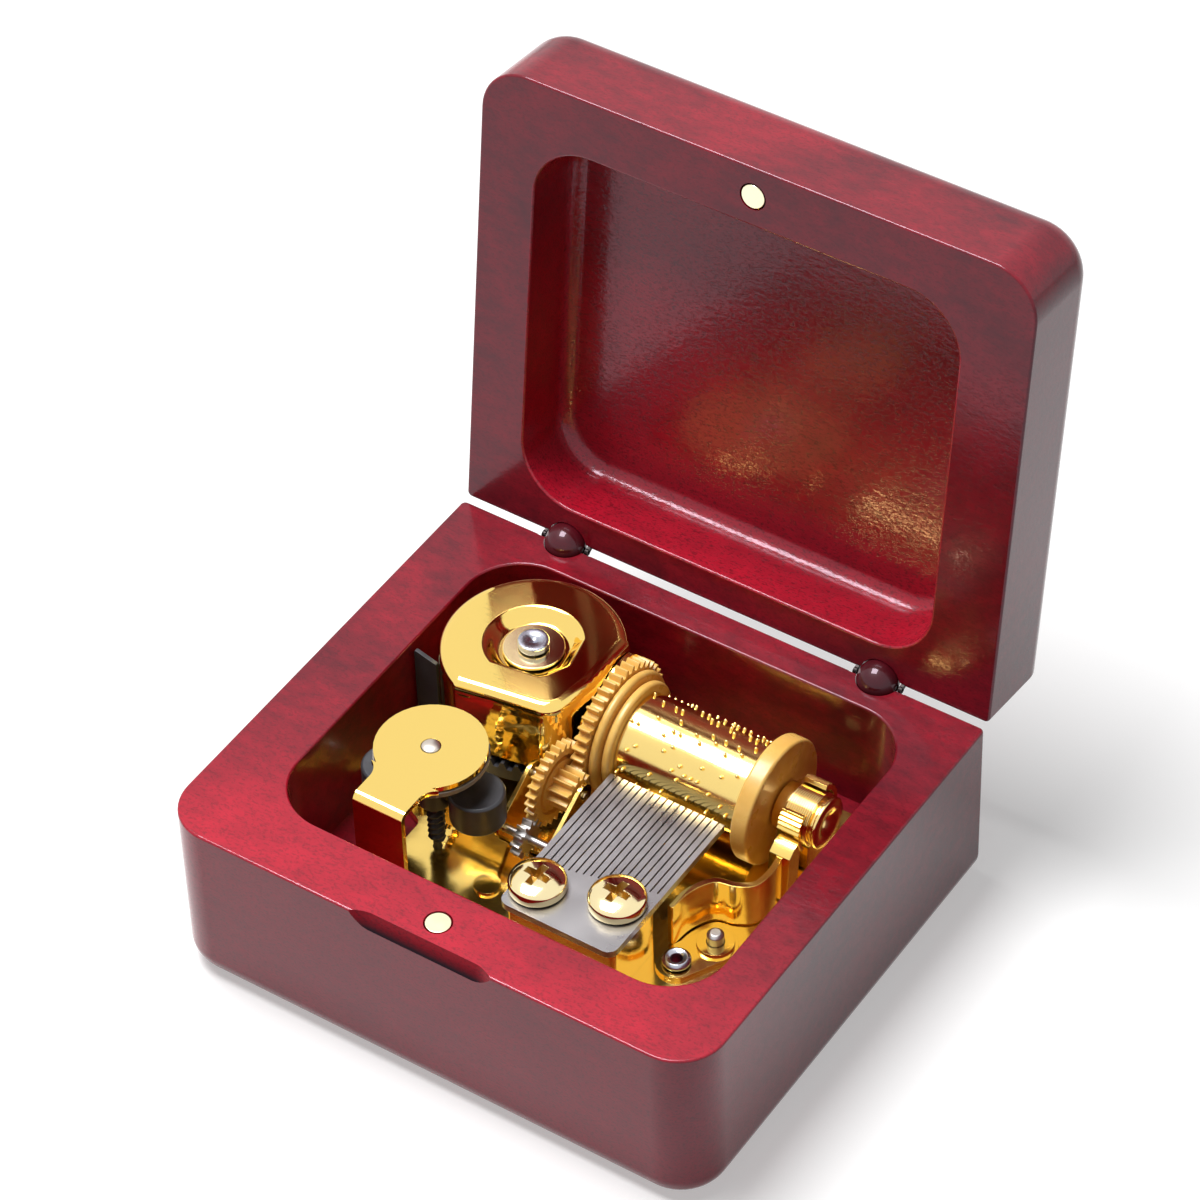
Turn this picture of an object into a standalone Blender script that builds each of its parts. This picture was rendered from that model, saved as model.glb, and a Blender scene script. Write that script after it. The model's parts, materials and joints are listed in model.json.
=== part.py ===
# Wooden music box: a lidded case holding a spring driven comb and cylinder movement.
# Metres, +Z up, origin at the centre of the case's underside, front towards -Y.
# The lid stands open on its hinge stops. Everything else is at rest.

import math
import random

import bmesh
import bpy
from mathutils import Matrix, Vector

# Gaps between pieces
FIT = 0.0003  # between two pieces that touch
SLIP = 0.0001  # round a pin, shaft or pressed disc
RUN = 0.0006  # between pieces that pass each other while they turn

# Wooden case and lid
RIM_LEFT = 0.0101
RIM_RIGHT = 0.0072
RIM_FRONT = 0.0100
RIM_BACK = 0.0048
CASE_HEIGHT = 0.0280
CASE_FLOOR = 0.0090  # wood under the movement
CORNER_R = 0.0070  # upright corners at the front
BACK_CORNER_R = 0.0008
EDGE_ROUND = 0.0040  # bottom edges of the case, top edges of the lid
POCKET_CORNER_R = 0.0085
LID_HEIGHT = 0.0152
LID_RECESS = 0.0100
LID_RIM_LEFT = 0.0089
LID_RIM_RIGHT = 0.0103
LID_RIM_FRONT = 0.0089
LID_RIM_BACK = 0.0048
LID_COVE = 0.0025
LID_OPEN_DEG = 97.3
NOTCH_LENGTH = 0.0228
NOTCH_END = 0.0030  # length of the taper at each end
NOTCH_R = 0.0033
NOTCH_END_R = 0.0010
NOTCH_AHEAD = 0.0006  # of the scoop's axis before the front
NOTCH_ABOVE = 0.0009  # of the scoop's axis over the rim
MAGNET_R = 0.00175
MAGNET_THICK = 0.0018
MAGNET_SETBACK = 0.0044

# Hinges: a ball with a pin through it on the case, a yoke on the lid
BALL_R = 0.0030
HINGE_BACK = 0.0008  # how far the axis stands behind the case
HINGE_INSET = 0.0170  # from each end of the case
HINGE_PIN_R = 0.0006
HINGE_PIN_LENGTH = 0.0088
STEM_R = 0.0010
STEM_LENGTH = 0.0062
STEM_SLOPE_DEG = 225  # from +Y, down into the case
YOKE_THICK = 0.0005
YOKE_EYE_R = 0.0010
YOKE_ARM = 0.0007  # half the height of an arm
YOKE_REACH = 0.0050
YOKE_SLOPE_DEG = 60  # of the arms over the rim, with the lid closed

# Winding side
CAN_R = 0.01305
CAN_FRONT_FLAT = 0.0113
CAN_FRONT_TILT_DEG = 9.0
CAN_RIGHT_FLAT = 0.0111
CAN_BEND_Y = 0.0020  # in front of the axis, where the right flat starts to lean inwards
CAN_BEND_DEG = 10.0
CAN_CORNER_R = 0.0035
CAN_WALL = 0.0008
CAN_HEIGHT = 0.0121
CAN_EDGE_ROUND = 0.0016
CAN_CEILING = 0.0008  # metal left under the dish
DISH_R = 0.0066
DISH_FLAT_R = 0.0048
DISH_DEPTH = 0.0017
WASHER_R = 0.0043
WASHER_THICK = 0.0004
ARBOR_R = 0.0011
RIVET_R = 0.0022
RIVET_HEIGHT = 0.0011
RIVET_DIMPLE_R = 0.0009
KEY_RECESS_R = 0.0130
KEY_RECESS_DEPTH = 0.0072
KEY_SPAN = 0.0200
KEY_THICK = 0.0018
KEY_HEIGHT = 0.0058
KEY_BOSS_R = 0.0026
KEY_LIFT = 0.0008  # of the key over the table
SPRING_TURNS = 4
SPRING_STRIP = 0.0003
SPRING_HEIGHT = 0.0022

# Blade between the can and the pocket's left wall
SHIM_FRONT = 0.0071  # from the spring's axis
SHIM_THICK = 0.0006
SHIM_DROP = 0.0029  # of its left end under the can's top
SHIM_SLOPE = 0.0011  # from there down to its right end
SHIM_SOFT = 0.0003

# Gears: teeth and modules of each mesh, in order from the spring
CROWN_TEETH = 36
ARBOR_PINION_TEETH = 12
CROWN_MODULE = 0.000575
CROWN_BAND = 0.0024
CROWN_PLATE = 0.0018
WHEEL_TEETH = 42
SECOND_PINION_TEETH = 11
WHEEL_MODULE = 0.00047
SECOND_WHEEL_TEETH = 28
THIRD_PINION_TEETH = 12
SECOND_MODULE = 0.00042
WORM_WHEEL_TEETH = 20
WORM_WHEEL_MODULE = 0.000335
BACKLASH = 0.00016
PRESSURE_DEG = 20.0

# Cylinder line, along +X from the spring can
EAR_THICK = 0.0008
EAR_FRONT = 0.0058  # before and behind the axis
EAR_BACK = 0.0080
EAR_DROP = 0.0013  # of its top under the can's top
ARBOR_PINION_WIDTH = 0.0013
WHEEL_WIDTH = 0.0020
RING_ONE_R = 0.0092
RING_ONE_WIDTH = 0.0015
RING_TWO_R = 0.0082
RING_TWO_WIDTH = 0.0014
TUBE_R = 0.0068
TUBE_WALL = 0.0005
TUBE_LENGTH = 0.0199
END_DISC_R = 0.0092
END_DISC_WIDTH = 0.0027
BUSH_NECK_R = 0.0035
BUSH_NECK = 0.0018
BUSH_R = 0.0040
BUSH_BODY = 0.0039
BUSH_GROOVES = 7
BUSH_GROOVE = 0.00014
BUSH_COLLAR_R = 0.0038
BUSH_COLLAR = 0.0013
CLASP_WIDTH = 0.0034
CLASP_THICK = 0.0006
CLASP_RIDGE = 0.0003
CLASP_RIDGES = 5
CLASP_TOP_DEG = 132.0  # from the back, over the top, to where the front clasp starts
CLASP_BACK_DEG = 62.0
CYLINDER_ARBOR_R = 0.0009
PIN_R = 0.00024
PIN_HEIGHT = 0.0007
MELODY_STEPS = 44
MELODY_SEED = 11

# Comb
TEETH = 18
TOOTH_PITCH = 0.001022
TOOTH_GAP = 0.00022
COMB_THICK = 0.0011
COMB_LENGTH = 0.0274
COMB_ROOT_LEFT = 0.0085  # from the front edge to the first tooth's root
COMB_ROOT_RIGHT = 0.0124
COMB_CORNER_R = 0.0015
SCREW_HEAD_R = 0.0040
SCREW_HEAD_HEIGHT = 0.0023
SCREW_SHANK_R = 0.0014
SCREW_SHANK = 0.0050
CROSS_TURN_DEG = 38

# Second and third arbors and the governor
SECOND_DROP = 0.0008  # second axis below the cylinder's
THIRD_DROP = 0.00433  # third axis below the second's
SECOND_WHEEL_WIDTH = 0.0015
SECOND_PINION_WIDTH = 0.0032
SMALL_ARBOR_R = 0.0006
THIRD_REACH = 0.0117  # from the third pinion's middle to the worm wheel's middle
WORM_WHEEL_WIDTH = 0.0011
BRACKET_SHEET = 0.0006
BRACKET_LEFT = 0.0039  # from the third pinion's middle to the left leg
WORM_R = 0.00125
WORM_CORE_R = 0.00059
WORM_TURNS = 6
ROTOR_HUB_R = 0.0022
ROTOR_NECK_R = 0.0012
WEIGHT_R = 0.0039
WEIGHT_HEIGHT = 0.0052
WEIGHT_OFFSET = 0.0065
WEIGHT_TURN_DEG = 9.0
CAP_R = 0.00775
CAP_THICK = 0.0008
CAP_NECK = 0.0079
CAP_REACH = 0.0129  # from the governor's axis to the front of the leg
CAP_TILT_X = 0.00015  # how far the neck's middle stands right of the axis
CAP_BEND_R = 0.0014
CAP_FLARE_R = 0.0028
CAP_FOOT = 0.0045
CAP_OVER_WEIGHTS = 0.0059
BRAKE_R = 0.0079
BRAKE_THICK = 0.0008
CAP_PIN_R = 0.0013

# Bedplate
PLATE_THICK = 0.0012
AXIS_CLEAR = 0.00076  # of the big wheel over the case floor
BOSS_R = 0.0026
BOSS_HEIGHT = 0.0012
LUG_HEIGHT = 0.0006
STRAP_THICK = 0.0009
CASE_SCREW_R = 0.0012
CASE_SCREW_HEAD_R = 0.0026
CASE_SCREW_HEAD = 0.0018
EYELET_R = 0.0020
EYELET_PLACE = (0.00327, 0.01025)  # from the comb's front right corner
CASE_SCREW_PLACES = ((0.00597, 0.01565), (0.00175, 0.00270), (-0.00710, 0.00640))
# from the comb's front right corner, the bush's left back edge and the governor
EMBOSS_PLACE = (-0.0079, 0.0086)  # from the comb's front left corner

# Room round the movement
PLAY_LEFT = 0.00195  # from the can to the pocket's left wall
PLAY_BACK = 0.00135
PLAY_RIGHT = 0.0053
PLAY_FRONT = 0.0073

# Sizes that follow from the gears
ARBOR_PINION_R = ARBOR_PINION_TEETH * CROWN_MODULE / 2
CROWN_R = CROWN_TEETH * CROWN_MODULE / 2
WHEEL_R = WHEEL_TEETH * WHEEL_MODULE / 2
SECOND_PINION_R = SECOND_PINION_TEETH * WHEEL_MODULE / 2
SECOND_WHEEL_R = SECOND_WHEEL_TEETH * SECOND_MODULE / 2
THIRD_PINION_R = THIRD_PINION_TEETH * SECOND_MODULE / 2
WORM_WHEEL_R = WORM_WHEEL_TEETH * WORM_WHEEL_MODULE / 2
WORM_PITCH = math.pi * WORM_WHEEL_MODULE
WORM_PITCH_R = 0.00095

# Heights
PLATE_BOTTOM = CASE_FLOOR + FIT
PLATE_TOP = PLATE_BOTTOM + PLATE_THICK
CYLINDER_Z = CASE_FLOOR + AXIS_CLEAR + WHEEL_R + WHEEL_MODULE
CROWN_PITCH_Z = CYLINDER_Z - ARBOR_PINION_R
CROWN_TOP = CROWN_PITCH_Z + 0.75 * CROWN_MODULE
CROWN_ROOT = CROWN_PITCH_Z - 1.1 * CROWN_MODULE
CROWN_BOTTOM = CROWN_ROOT - CROWN_PLATE
CAN_BOTTOM = CROWN_TOP + RUN
CAN_TOP = CAN_BOTTOM + CAN_HEIGHT
CAN_ROOF = CAN_TOP - DISH_DEPTH - CAN_CEILING


def line_of_pieces():
    # Distances from the spring's axis to each piece on the cylinder line.
    ear = CAN_RIGHT_FLAT + FIT / 2
    wheel = ear + EAR_THICK + FIT
    ring_one = wheel + WHEEL_WIDTH
    ring_two = ring_one + RING_ONE_WIDTH
    tube = ring_two + RING_TWO_WIDTH
    disc = tube + TUBE_LENGTH
    bush = disc + END_DISC_WIDTH + FIT
    end = bush + BUSH_NECK + BUSH_BODY + BUSH_COLLAR
    return dict(ear=ear, wheel=wheel, ring_one=ring_one, ring_two=ring_two,
                tube=tube, disc=disc, bush=bush, end=end)


LINE = line_of_pieces()
CASE_LENGTH = RIM_LEFT + PLAY_LEFT + CAN_R + LINE["end"] + PLAY_RIGHT + RIM_RIGHT
SPRING_X = -CASE_LENGTH / 2 + RIM_LEFT + PLAY_LEFT + CAN_R
COMB_TIP = TUBE_R + PIN_HEIGHT + 1.5 * SLIP  # from the cylinder's axis
CASE_DEPTH = RIM_BACK + PLAY_BACK + CAN_R + COMB_TIP + COMB_LENGTH + PLAY_FRONT + RIM_FRONT
AXIS_Y = CASE_DEPTH / 2 - RIM_BACK - PLAY_BACK - CAN_R
HINGE_Y = CASE_DEPTH / 2 + HINGE_BACK
HINGE_Z = CASE_HEIGHT - SLIP
LID_BOTTOM = CASE_HEIGHT + FIT

SECOND_REACH = WHEEL_R + SECOND_PINION_R
SECOND_Y = AXIS_Y - math.sqrt(SECOND_REACH**2 - SECOND_DROP**2)
SECOND_Z = CYLINDER_Z - SECOND_DROP
THIRD_REACH_YZ = SECOND_WHEEL_R + THIRD_PINION_R
THIRD_Y = SECOND_Y - math.sqrt(THIRD_REACH_YZ**2 - THIRD_DROP**2)
THIRD_Z = SECOND_Z - THIRD_DROP
SECOND_WHEEL_RIGHT = SPRING_X + LINE["wheel"] - FIT
SECOND_WHEEL_LEFT = SECOND_WHEEL_RIGHT - SECOND_WHEEL_WIDTH
SECOND_PINION_RIGHT = SECOND_WHEEL_RIGHT + SECOND_PINION_WIDTH
THIRD_MIDDLE = (SECOND_WHEEL_LEFT + SECOND_WHEEL_RIGHT) / 2
WORM_X = THIRD_MIDDLE - THIRD_REACH
WORM_Y = THIRD_Y - WORM_WHEEL_R - WORM_PITCH_R

COMB_LEFT = SPRING_X + LINE["tube"] + SLIP
COMB_RIGHT = COMB_LEFT + TEETH * TOOTH_PITCH - TOOTH_GAP
COMB_FRONT = AXIS_Y - COMB_TIP - COMB_LENGTH
COMB_TOP = CYLINDER_Z + SLIP
COMB_BOTTOM = COMB_TOP - COMB_THICK
SCREW_LEFT = (COMB_LEFT + 0.0032, COMB_FRONT + 0.0049)
SCREW_RIGHT = (COMB_RIGHT - 0.0044, COMB_FRONT + 0.0080)

BUSH_X = SPRING_X + LINE["bush"]
CLASP_X = BUSH_X + BUSH_NECK + SLIP
EYELET = (COMB_RIGHT + EYELET_PLACE[0], COMB_FRONT + EYELET_PLACE[1])
EMBOSS = (COMB_LEFT + EMBOSS_PLACE[0], COMB_FRONT + EMBOSS_PLACE[1])
CASE_SCREWS = [(x + dx, y + dy) for (x, y), (dx, dy) in
               zip(((COMB_RIGHT, COMB_FRONT), (BUSH_X, AXIS_Y + BUSH_R), (WORM_X, WORM_Y)),
                   CASE_SCREW_PLACES)]
SCREW_SEAT = CASE_SCREW_HEAD + 2 * FIT

WEIGHT_BOTTOM = THIRD_Z + WORM_WHEEL_R + WORM_WHEEL_MODULE + FIT
WEIGHT_TOP = WEIGHT_BOTTOM + WEIGHT_HEIGHT
CAP_TOP = WEIGHT_TOP + CAP_OVER_WEIGHTS
BRAKE_TOP = CAP_TOP - CAP_THICK - FIT


# Geometry helpers

def on_circle(centre, radius, degrees):
    angle = math.radians(degrees)
    return (centre[0] + radius * math.cos(angle), centre[1] + radius * math.sin(angle))


def circle(centre, radius, steps=32, start=0.0):
    return [on_circle(centre, radius, start + 360.0 * i / steps) for i in range(steps)]


def arc(centre, radius, start, end, steps):
    return [on_circle(centre, radius, start + (end - start) * i / steps) for i in range(steps + 1)]


def rounded(corners, steps=5):
    # An outline through corners (x, y, fillet radius), each corner an arc of the same steps.
    outline = []
    count = len(corners)
    for i, (x, y, radius) in enumerate(corners):
        here = Vector((x, y))
        before = Vector(corners[i - 1][:2]) - here
        after = Vector(corners[(i + 1) % count][:2]) - here
        before.normalize()
        after.normalize()
        half = before.angle(after) / 2
        middle = here + (before + after).normalized() * radius / math.sin(half)
        first = here + before * radius / math.tan(half) - middle
        last = here + after * radius / math.tan(half) - middle
        turn = first.angle_signed(last)
        for k in range(steps + 1):
            spoke = first.copy()
            spoke.rotate(Matrix.Rotation(-turn * k / steps, 2))
            outline.append(tuple(middle + spoke))
    return outline


def box_outline(left, right, front, back, radii, inset=0.0, steps=5):
    # A rounded rectangle; radii run front left, front right, back right, back left.
    smallest = 0.0002
    left, right = left + inset, right - inset
    front, back = front + inset, back - inset
    places = ((left, front), (right, front), (right, back), (left, back))
    return rounded([(x, y, max(r - inset, smallest)) for (x, y), r in zip(places, radii)], steps)


def smooth_path(points, steps):
    # A Catmull-Rom curve through the points.
    ends = [Vector(points[0]) * 2 - Vector(points[1])] + [Vector(p) for p in points]
    ends.append(Vector(points[-1]) * 2 - Vector(points[-2]))
    path = []
    for a, b, c, d in zip(ends, ends[1:], ends[2:], ends[3:]):
        for k in range(steps):
            t = k / steps
            path.append((2 * b + (c - a) * t + (2 * a - 5 * b + 4 * c - d) * t**2
                         + (3 * b - a - 3 * c + d) * t**3) / 2)
    path.append(ends[-2])
    return path


def ribbon(path, width):
    # An outline of even width round a path in the plane.
    left, right = [], []
    for i, here in enumerate(path):
        along = path[min(i + 1, len(path) - 1)] - path[max(i - 1, 0)]
        side = Vector((-along.y, along.x)).normalized() * width / 2
        left.append(tuple(here + side))
        right.append(tuple(here - side))
    return right + left[::-1]


def tooth_half_angle(radius, teeth, pitch_radius, slack):
    # Half the angle that an involute tooth takes at this radius.
    pressure = math.radians(PRESSURE_DEG)
    base = pitch_radius * math.cos(pressure)
    at = math.acos(min(1.0, base / max(radius, base)))
    involute = math.tan(pressure) - pressure - math.tan(at) + at
    return math.pi / (2 * teeth) - slack / (2 * pitch_radius) + involute


def gear_outline(centre, teeth, module, phase_deg, addendum=0.9, dedendum=1.15, slack=BACKLASH):
    # An involute spur gear with a tooth centred at phase_deg.
    pitch_radius = teeth * module / 2
    root = pitch_radius - dedendum * module
    tip = pitch_radius + addendum * module
    radii = (root, pitch_radius, tip)
    halves = [math.degrees(tooth_half_angle(r, teeth, pitch_radius, slack)) for r in radii]
    outline = []
    for k in range(teeth):
        middle = phase_deg + 360.0 * k / teeth
        outline += [on_circle(centre, r, middle - h) for r, h in zip(radii, halves)]
        outline += [on_circle(centre, r, middle + h) for r, h in zip(radii[::-1], halves[::-1])]
    return outline


AXES = {"X": Matrix(((0, 0, 1), (1, 0, 0), (0, 1, 0))),
        "Y": Matrix(((0, 1, 0), (0, 0, 1), (1, 0, 0))),
        "Z": Matrix.Identity(3)}


def new_object(name, bm, look=None):
    bmesh.ops.recalc_face_normals(bm, faces=bm.faces)
    mesh = bpy.data.meshes.new(name)
    bm.to_mesh(mesh)
    bm.free()
    obj = bpy.data.objects.new(name, mesh)
    bpy.context.scene.collection.objects.link(obj)
    if look:
        mesh.materials.append(look)
    return obj


def bridge(bm, lower, upper):
    for i in range(len(lower)):
        j = (i + 1) % len(lower)
        bm.faces.new((lower[i], lower[j], upper[j], upper[i]))


def skin(name, layers, look=None, axis="Z"):
    # A solid through outlines of equal count, each at its own height along the axis.
    bm = bmesh.new()
    turn = AXES[axis]
    rings = [[bm.verts.new(turn @ Vector((u, v, height))) for u, v in outline]
             for outline, height in layers]
    for lower, upper in zip(rings, rings[1:]):
        bridge(bm, lower, upper)
    bm.faces.new(rings[0][::-1])
    bm.faces.new(rings[-1])
    return new_object(name, bm, look)


def prism(name, outline, low, high, look=None, axis="Z"):
    return skin(name, [(outline, low), (outline, high)], look, axis)


def lathe(name, profile, centre, look=None, axis="Z", steps=32):
    # Turns (radius, height) points about the axis; the profile is closed through its ends.
    bm = bmesh.new()
    turn = AXES[axis]
    rings = []
    for radius, height in profile:
        ring = [(0.0, 0.0)] if radius == 0 else circle((0, 0), radius, steps)
        rings.append([bm.verts.new(turn @ Vector((u, v, height))) for u, v in ring])
    pairs = list(zip(rings, rings[1:]))
    if len(rings[0]) > 1 and len(rings[-1]) > 1:
        pairs.append((rings[-1], rings[0]))
    for lower, upper in pairs:
        for i in range(steps):
            j = (i + 1) % steps
            corners = []
            for ring, k in ((lower, i), (lower, j), (upper, j), (upper, i)):
                vert = ring[k % len(ring)]
                if vert not in corners:
                    corners.append(vert)
            bm.faces.new(corners)
    obj = new_object(name, bm, look)
    obj.data.transform(Matrix.Translation(Vector(centre)))
    return obj


def rod(name, radius, low, high, centre, look=None, axis="Z", steps=20):
    return lathe(name, [(0, low), (radius, low), (radius, high), (0, high)], centre, look, axis, steps)


def hull(name, points, look=None):
    bm = bmesh.new()
    for point in points:
        bm.verts.new(point)
    result = bmesh.ops.convex_hull(bm, input=bm.verts)
    spare = [g for g in result["geom_interior"] + result["geom_unused"]
             if isinstance(g, bmesh.types.BMVert)]
    bmesh.ops.delete(bm, geom=spare, context="VERTS")
    return new_object(name, bm, look)


def combine(target, others, operation):
    # Applies a Boolean with each other piece, which is then removed.
    for other in others:
        modifier = target.modifiers.new(other.name, "BOOLEAN")
        modifier.operation = operation
        modifier.object = other
    graph = bpy.context.evaluated_depsgraph_get()
    finished = bpy.data.meshes.new_from_object(target.evaluated_get(graph))
    target.modifiers.clear()
    target.data = finished
    for other in others:
        bpy.data.objects.remove(other)
    return target


def cut(target, *cutters):
    return combine(target, cutters, "DIFFERENCE")


def join(target, *others):
    return combine(target, others, "UNION")


def set_origin(obj, point):
    obj.data.transform(Matrix.Translation(-Vector(point)))
    obj.location = point
    return obj


def look(name, colour, roughness, metallic=0.0, alpha=1.0):
    made = bpy.data.materials.new(name)
    made.use_nodes = True
    shader = made.node_tree.nodes["Principled BSDF"]
    shader.inputs["Base Color"].default_value = (*colour, 1.0)
    shader.inputs["Roughness"].default_value = roughness
    shader.inputs["Metallic"].default_value = metallic
    shader.inputs["Alpha"].default_value = alpha
    made.diffuse_color = (*colour, alpha)
    return made


# Wooden case

def case_layers(bottom, top, round_at_bottom, steps=4):
    # The outer block, its one set of horizontal edges rounded over.
    half_x, half_y = CASE_LENGTH / 2, CASE_DEPTH / 2
    radii = (CORNER_R, CORNER_R, BACK_CORNER_R, BACK_CORNER_R)

    def outline(inset):
        return box_outline(-half_x, half_x, -half_y, half_y, radii, inset)

    levels = []
    for k in range(steps + 1):
        angle = math.pi / 2 * k / steps
        levels.append((EDGE_ROUND * (1 - math.sin(angle)), EDGE_ROUND * (1 - math.cos(angle))))
    if round_at_bottom:
        return [(outline(inset), bottom + rise) for inset, rise in levels] + [(outline(0), top)]
    return [(outline(0), bottom)] + [(outline(inset), top - rise) for inset, rise in levels[::-1]]


def hinge_places():
    for side, name in ((-1, "left"), (1, "right")):
        yield name, side * (CASE_LENGTH / 2 - HINGE_INSET)


def hinge_clearance(x):
    # The hollow in the wood round a hinge ball, the yoke's eyes and the pin's ends.
    radius, eye = BALL_R + FIT, YOKE_EYE_R + FIT
    end = HINGE_PIN_LENGTH / 2 + FIT
    shoulder = math.degrees(math.asin(eye / radius))
    globe = arc((0, 0), radius, 180 - shoulder, shoulder, 8)
    profile = [(0, -end), (eye, -end)] + [(v, u) for u, v in globe] + [(eye, end), (0, end)]
    return lathe("hinge_hollow", profile, (x, HINGE_Y, HINGE_Z), None, "X", 16)


def sphere_profile(radius, steps=6):
    profile = []
    for k in range(steps + 1):
        angle = math.pi * k / steps
        profile.append((radius * math.sin(angle) if 0 < k < steps else 0, -radius * math.cos(angle)))
    return profile


def slanted_rod(name, radius, low, high, x):
    # A rod that runs from the hinge axis down into the case.
    obj = rod(name, radius, low, high, (0, 0, 0), None, "Y", 12)
    obj.data.transform(Matrix.Translation((x, HINGE_Y, HINGE_Z)) @ Matrix.Rotation(
        math.radians(STEM_SLOPE_DEG), 4, "X"))
    return obj


def make_case(wood):
    case = skin("case", case_layers(0, CASE_HEIGHT, True), wood)
    half_x, half_y = CASE_LENGTH / 2, CASE_DEPTH / 2
    pocket = box_outline(-half_x + RIM_LEFT, half_x - RIM_RIGHT, -half_y + RIM_FRONT, half_y - RIM_BACK,
                         [POCKET_CORNER_R] * 4, steps=6)
    cutters = [prism("pocket", pocket, CASE_FLOOR, CASE_HEIGHT + 0.002)]
    spring = (SPRING_X, AXIS_Y, 0)
    cutters.append(rod("key_recess", KEY_RECESS_R, -0.001, KEY_RECESS_DEPTH, spring, steps=36))
    cutters.append(rod("arbor_hole", ARBOR_R + 2 * FIT, 0, CASE_FLOOR + 0.001, spring, steps=16))
    magnet = (0, -half_y + MAGNET_SETBACK, CASE_HEIGHT)
    cutters.append(rod("magnet_hole", MAGNET_R + SLIP, -MAGNET_THICK - FIT, 0.001, magnet, steps=24))
    for name, x in hinge_places():
        cutters.append(hinge_clearance(x))
        cutters.append(slanted_rod("stem_hole", STEM_R + SLIP, 0, STEM_LENGTH + FIT, x))
    for x, y in CASE_SCREWS:
        cutters.append(rod("screw_hole", CASE_SCREW_R + FIT, 0, CASE_FLOOR + 0.001, (x, y, 0), steps=16))
        cutters.append(rod("head_hole", CASE_SCREW_HEAD_R + FIT, -0.001, SCREW_SEAT, (x, y, 0), steps=20))
    cutters.append(finger_notch())
    return cut(case, *cutters)


def finger_notch():
    # A round scoop along the front top edge, tapered to nothing at both ends.
    half, full = NOTCH_LENGTH / 2, NOTCH_LENGTH / 2 - NOTCH_END
    profile = [(0, -half), (NOTCH_END_R, -half), (NOTCH_R, -full), (NOTCH_R, full), (NOTCH_END_R, half),
               (0, half)]
    return lathe("notch", profile, (0, -CASE_DEPTH / 2 - NOTCH_AHEAD, CASE_HEIGHT + NOTCH_ABOVE), None,
                 "X", 40)


def make_magnet(name, height, steel):
    place = (0, -CASE_DEPTH / 2 + MAGNET_SETBACK, height)
    return rod(name, MAGNET_R, 0, MAGNET_THICK, place, steel, steps=24)


def make_case_screws(steel):
    top = PLATE_TOP + 0.0030
    for number, (x, y) in enumerate(CASE_SCREWS, 1):
        low = SCREW_SEAT - CASE_SCREW_HEAD - FIT
        seat = low + CASE_SCREW_HEAD
        profile = [(0, low), (CASE_SCREW_HEAD_R, low), (CASE_SCREW_HEAD_R, low + 0.0004),
                   (CASE_SCREW_R, seat), (CASE_SCREW_R, top - 0.0004), (CASE_SCREW_R * 0.6, top), (0, top)]
        screw = lathe(f"case_screw_{number}", profile, (x, y, 0), steel, steps=14)
        cut(screw, *phillips((x, y, low), CASE_SCREW_HEAD_R * 0.6, 0.0011, -1))


def phillips(place, reach, depth, side=1):
    # Two crossed wedges; side is 1 for a head that faces up, -1 for one that faces down.
    above = 0.001
    wedges = []
    for turn in (CROSS_TURN_DEG, CROSS_TURN_DEG + 90):
        points = [(sx * span, sy * width, side * level)
                  for level, span, width in ((above, reach * 1.3, reach * 0.32),
                                             (-depth, reach * 0.5, reach * 0.2))
                  for sx in (-1, 1) for sy in (-1, 1)]
        wedge = hull(f"wedge_{turn}", points)
        wedge.data.transform(Matrix.Translation(place) @ Matrix.Rotation(math.radians(turn), 4, "Z"))
        wedges.append(wedge)
    return wedges


# Lid and hinges, modelled closed and then swung open

def swing_open(*pieces):
    for piece in pieces:
        set_origin(piece, (0, HINGE_Y, HINGE_Z))
        piece.rotation_euler.x = -math.radians(LID_OPEN_DEG)


def make_lid(wood):
    lid = skin("lid", case_layers(LID_BOTTOM, LID_BOTTOM + LID_HEIGHT, False), wood)
    half_x, half_y = CASE_LENGTH / 2, CASE_DEPTH / 2

    def recess(inset):
        return box_outline(-half_x + LID_RIM_LEFT, half_x - LID_RIM_RIGHT, -half_y + LID_RIM_FRONT,
                           half_y - LID_RIM_BACK, [POCKET_CORNER_R] * 4, inset, steps=5)

    ceiling = LID_BOTTOM + LID_RECESS
    layers = [(recess(0), LID_BOTTOM - 0.001)]
    for k in range(4):
        angle = math.pi / 2 * k / 3
        layers.append((recess(LID_COVE * (1 - math.cos(angle))),
                       ceiling - LID_COVE * (1 - math.sin(angle))))
    cutters = [skin("recess", layers)]
    magnet = (0, -half_y + MAGNET_SETBACK, LID_BOTTOM)
    cutters.append(rod("magnet_hole", MAGNET_R + SLIP, -0.001, MAGNET_THICK + FIT, magnet, steps=24))
    for name, x in hinge_places():
        cutters.append(hinge_clearance(x))
        cutters.append(yoke_room(x))
    cut(lid, *cutters)
    return lid


def tilt_yoke(piece, x):
    # From the hinge axis along -Y to its place in the closed lid.
    piece.data.transform(Matrix.Translation((x, HINGE_Y, HINGE_Z)) @ Matrix.Rotation(
        -math.radians(YOKE_SLOPE_DEG), 4, "X"))
    return piece


def yoke_room(x):
    # One straight slot in the lid for both arms and the bar behind the ball.
    half, wide = YOKE_ARM + SLIP, BALL_R + FIT + YOKE_THICK + SLIP
    outline = [(-YOKE_REACH - SLIP, -half), (0, -half), (0, half), (-YOKE_REACH - SLIP, half)]
    return tilt_yoke(prism("yoke_room", outline, -wide, wide, None, "X"), x)


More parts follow.
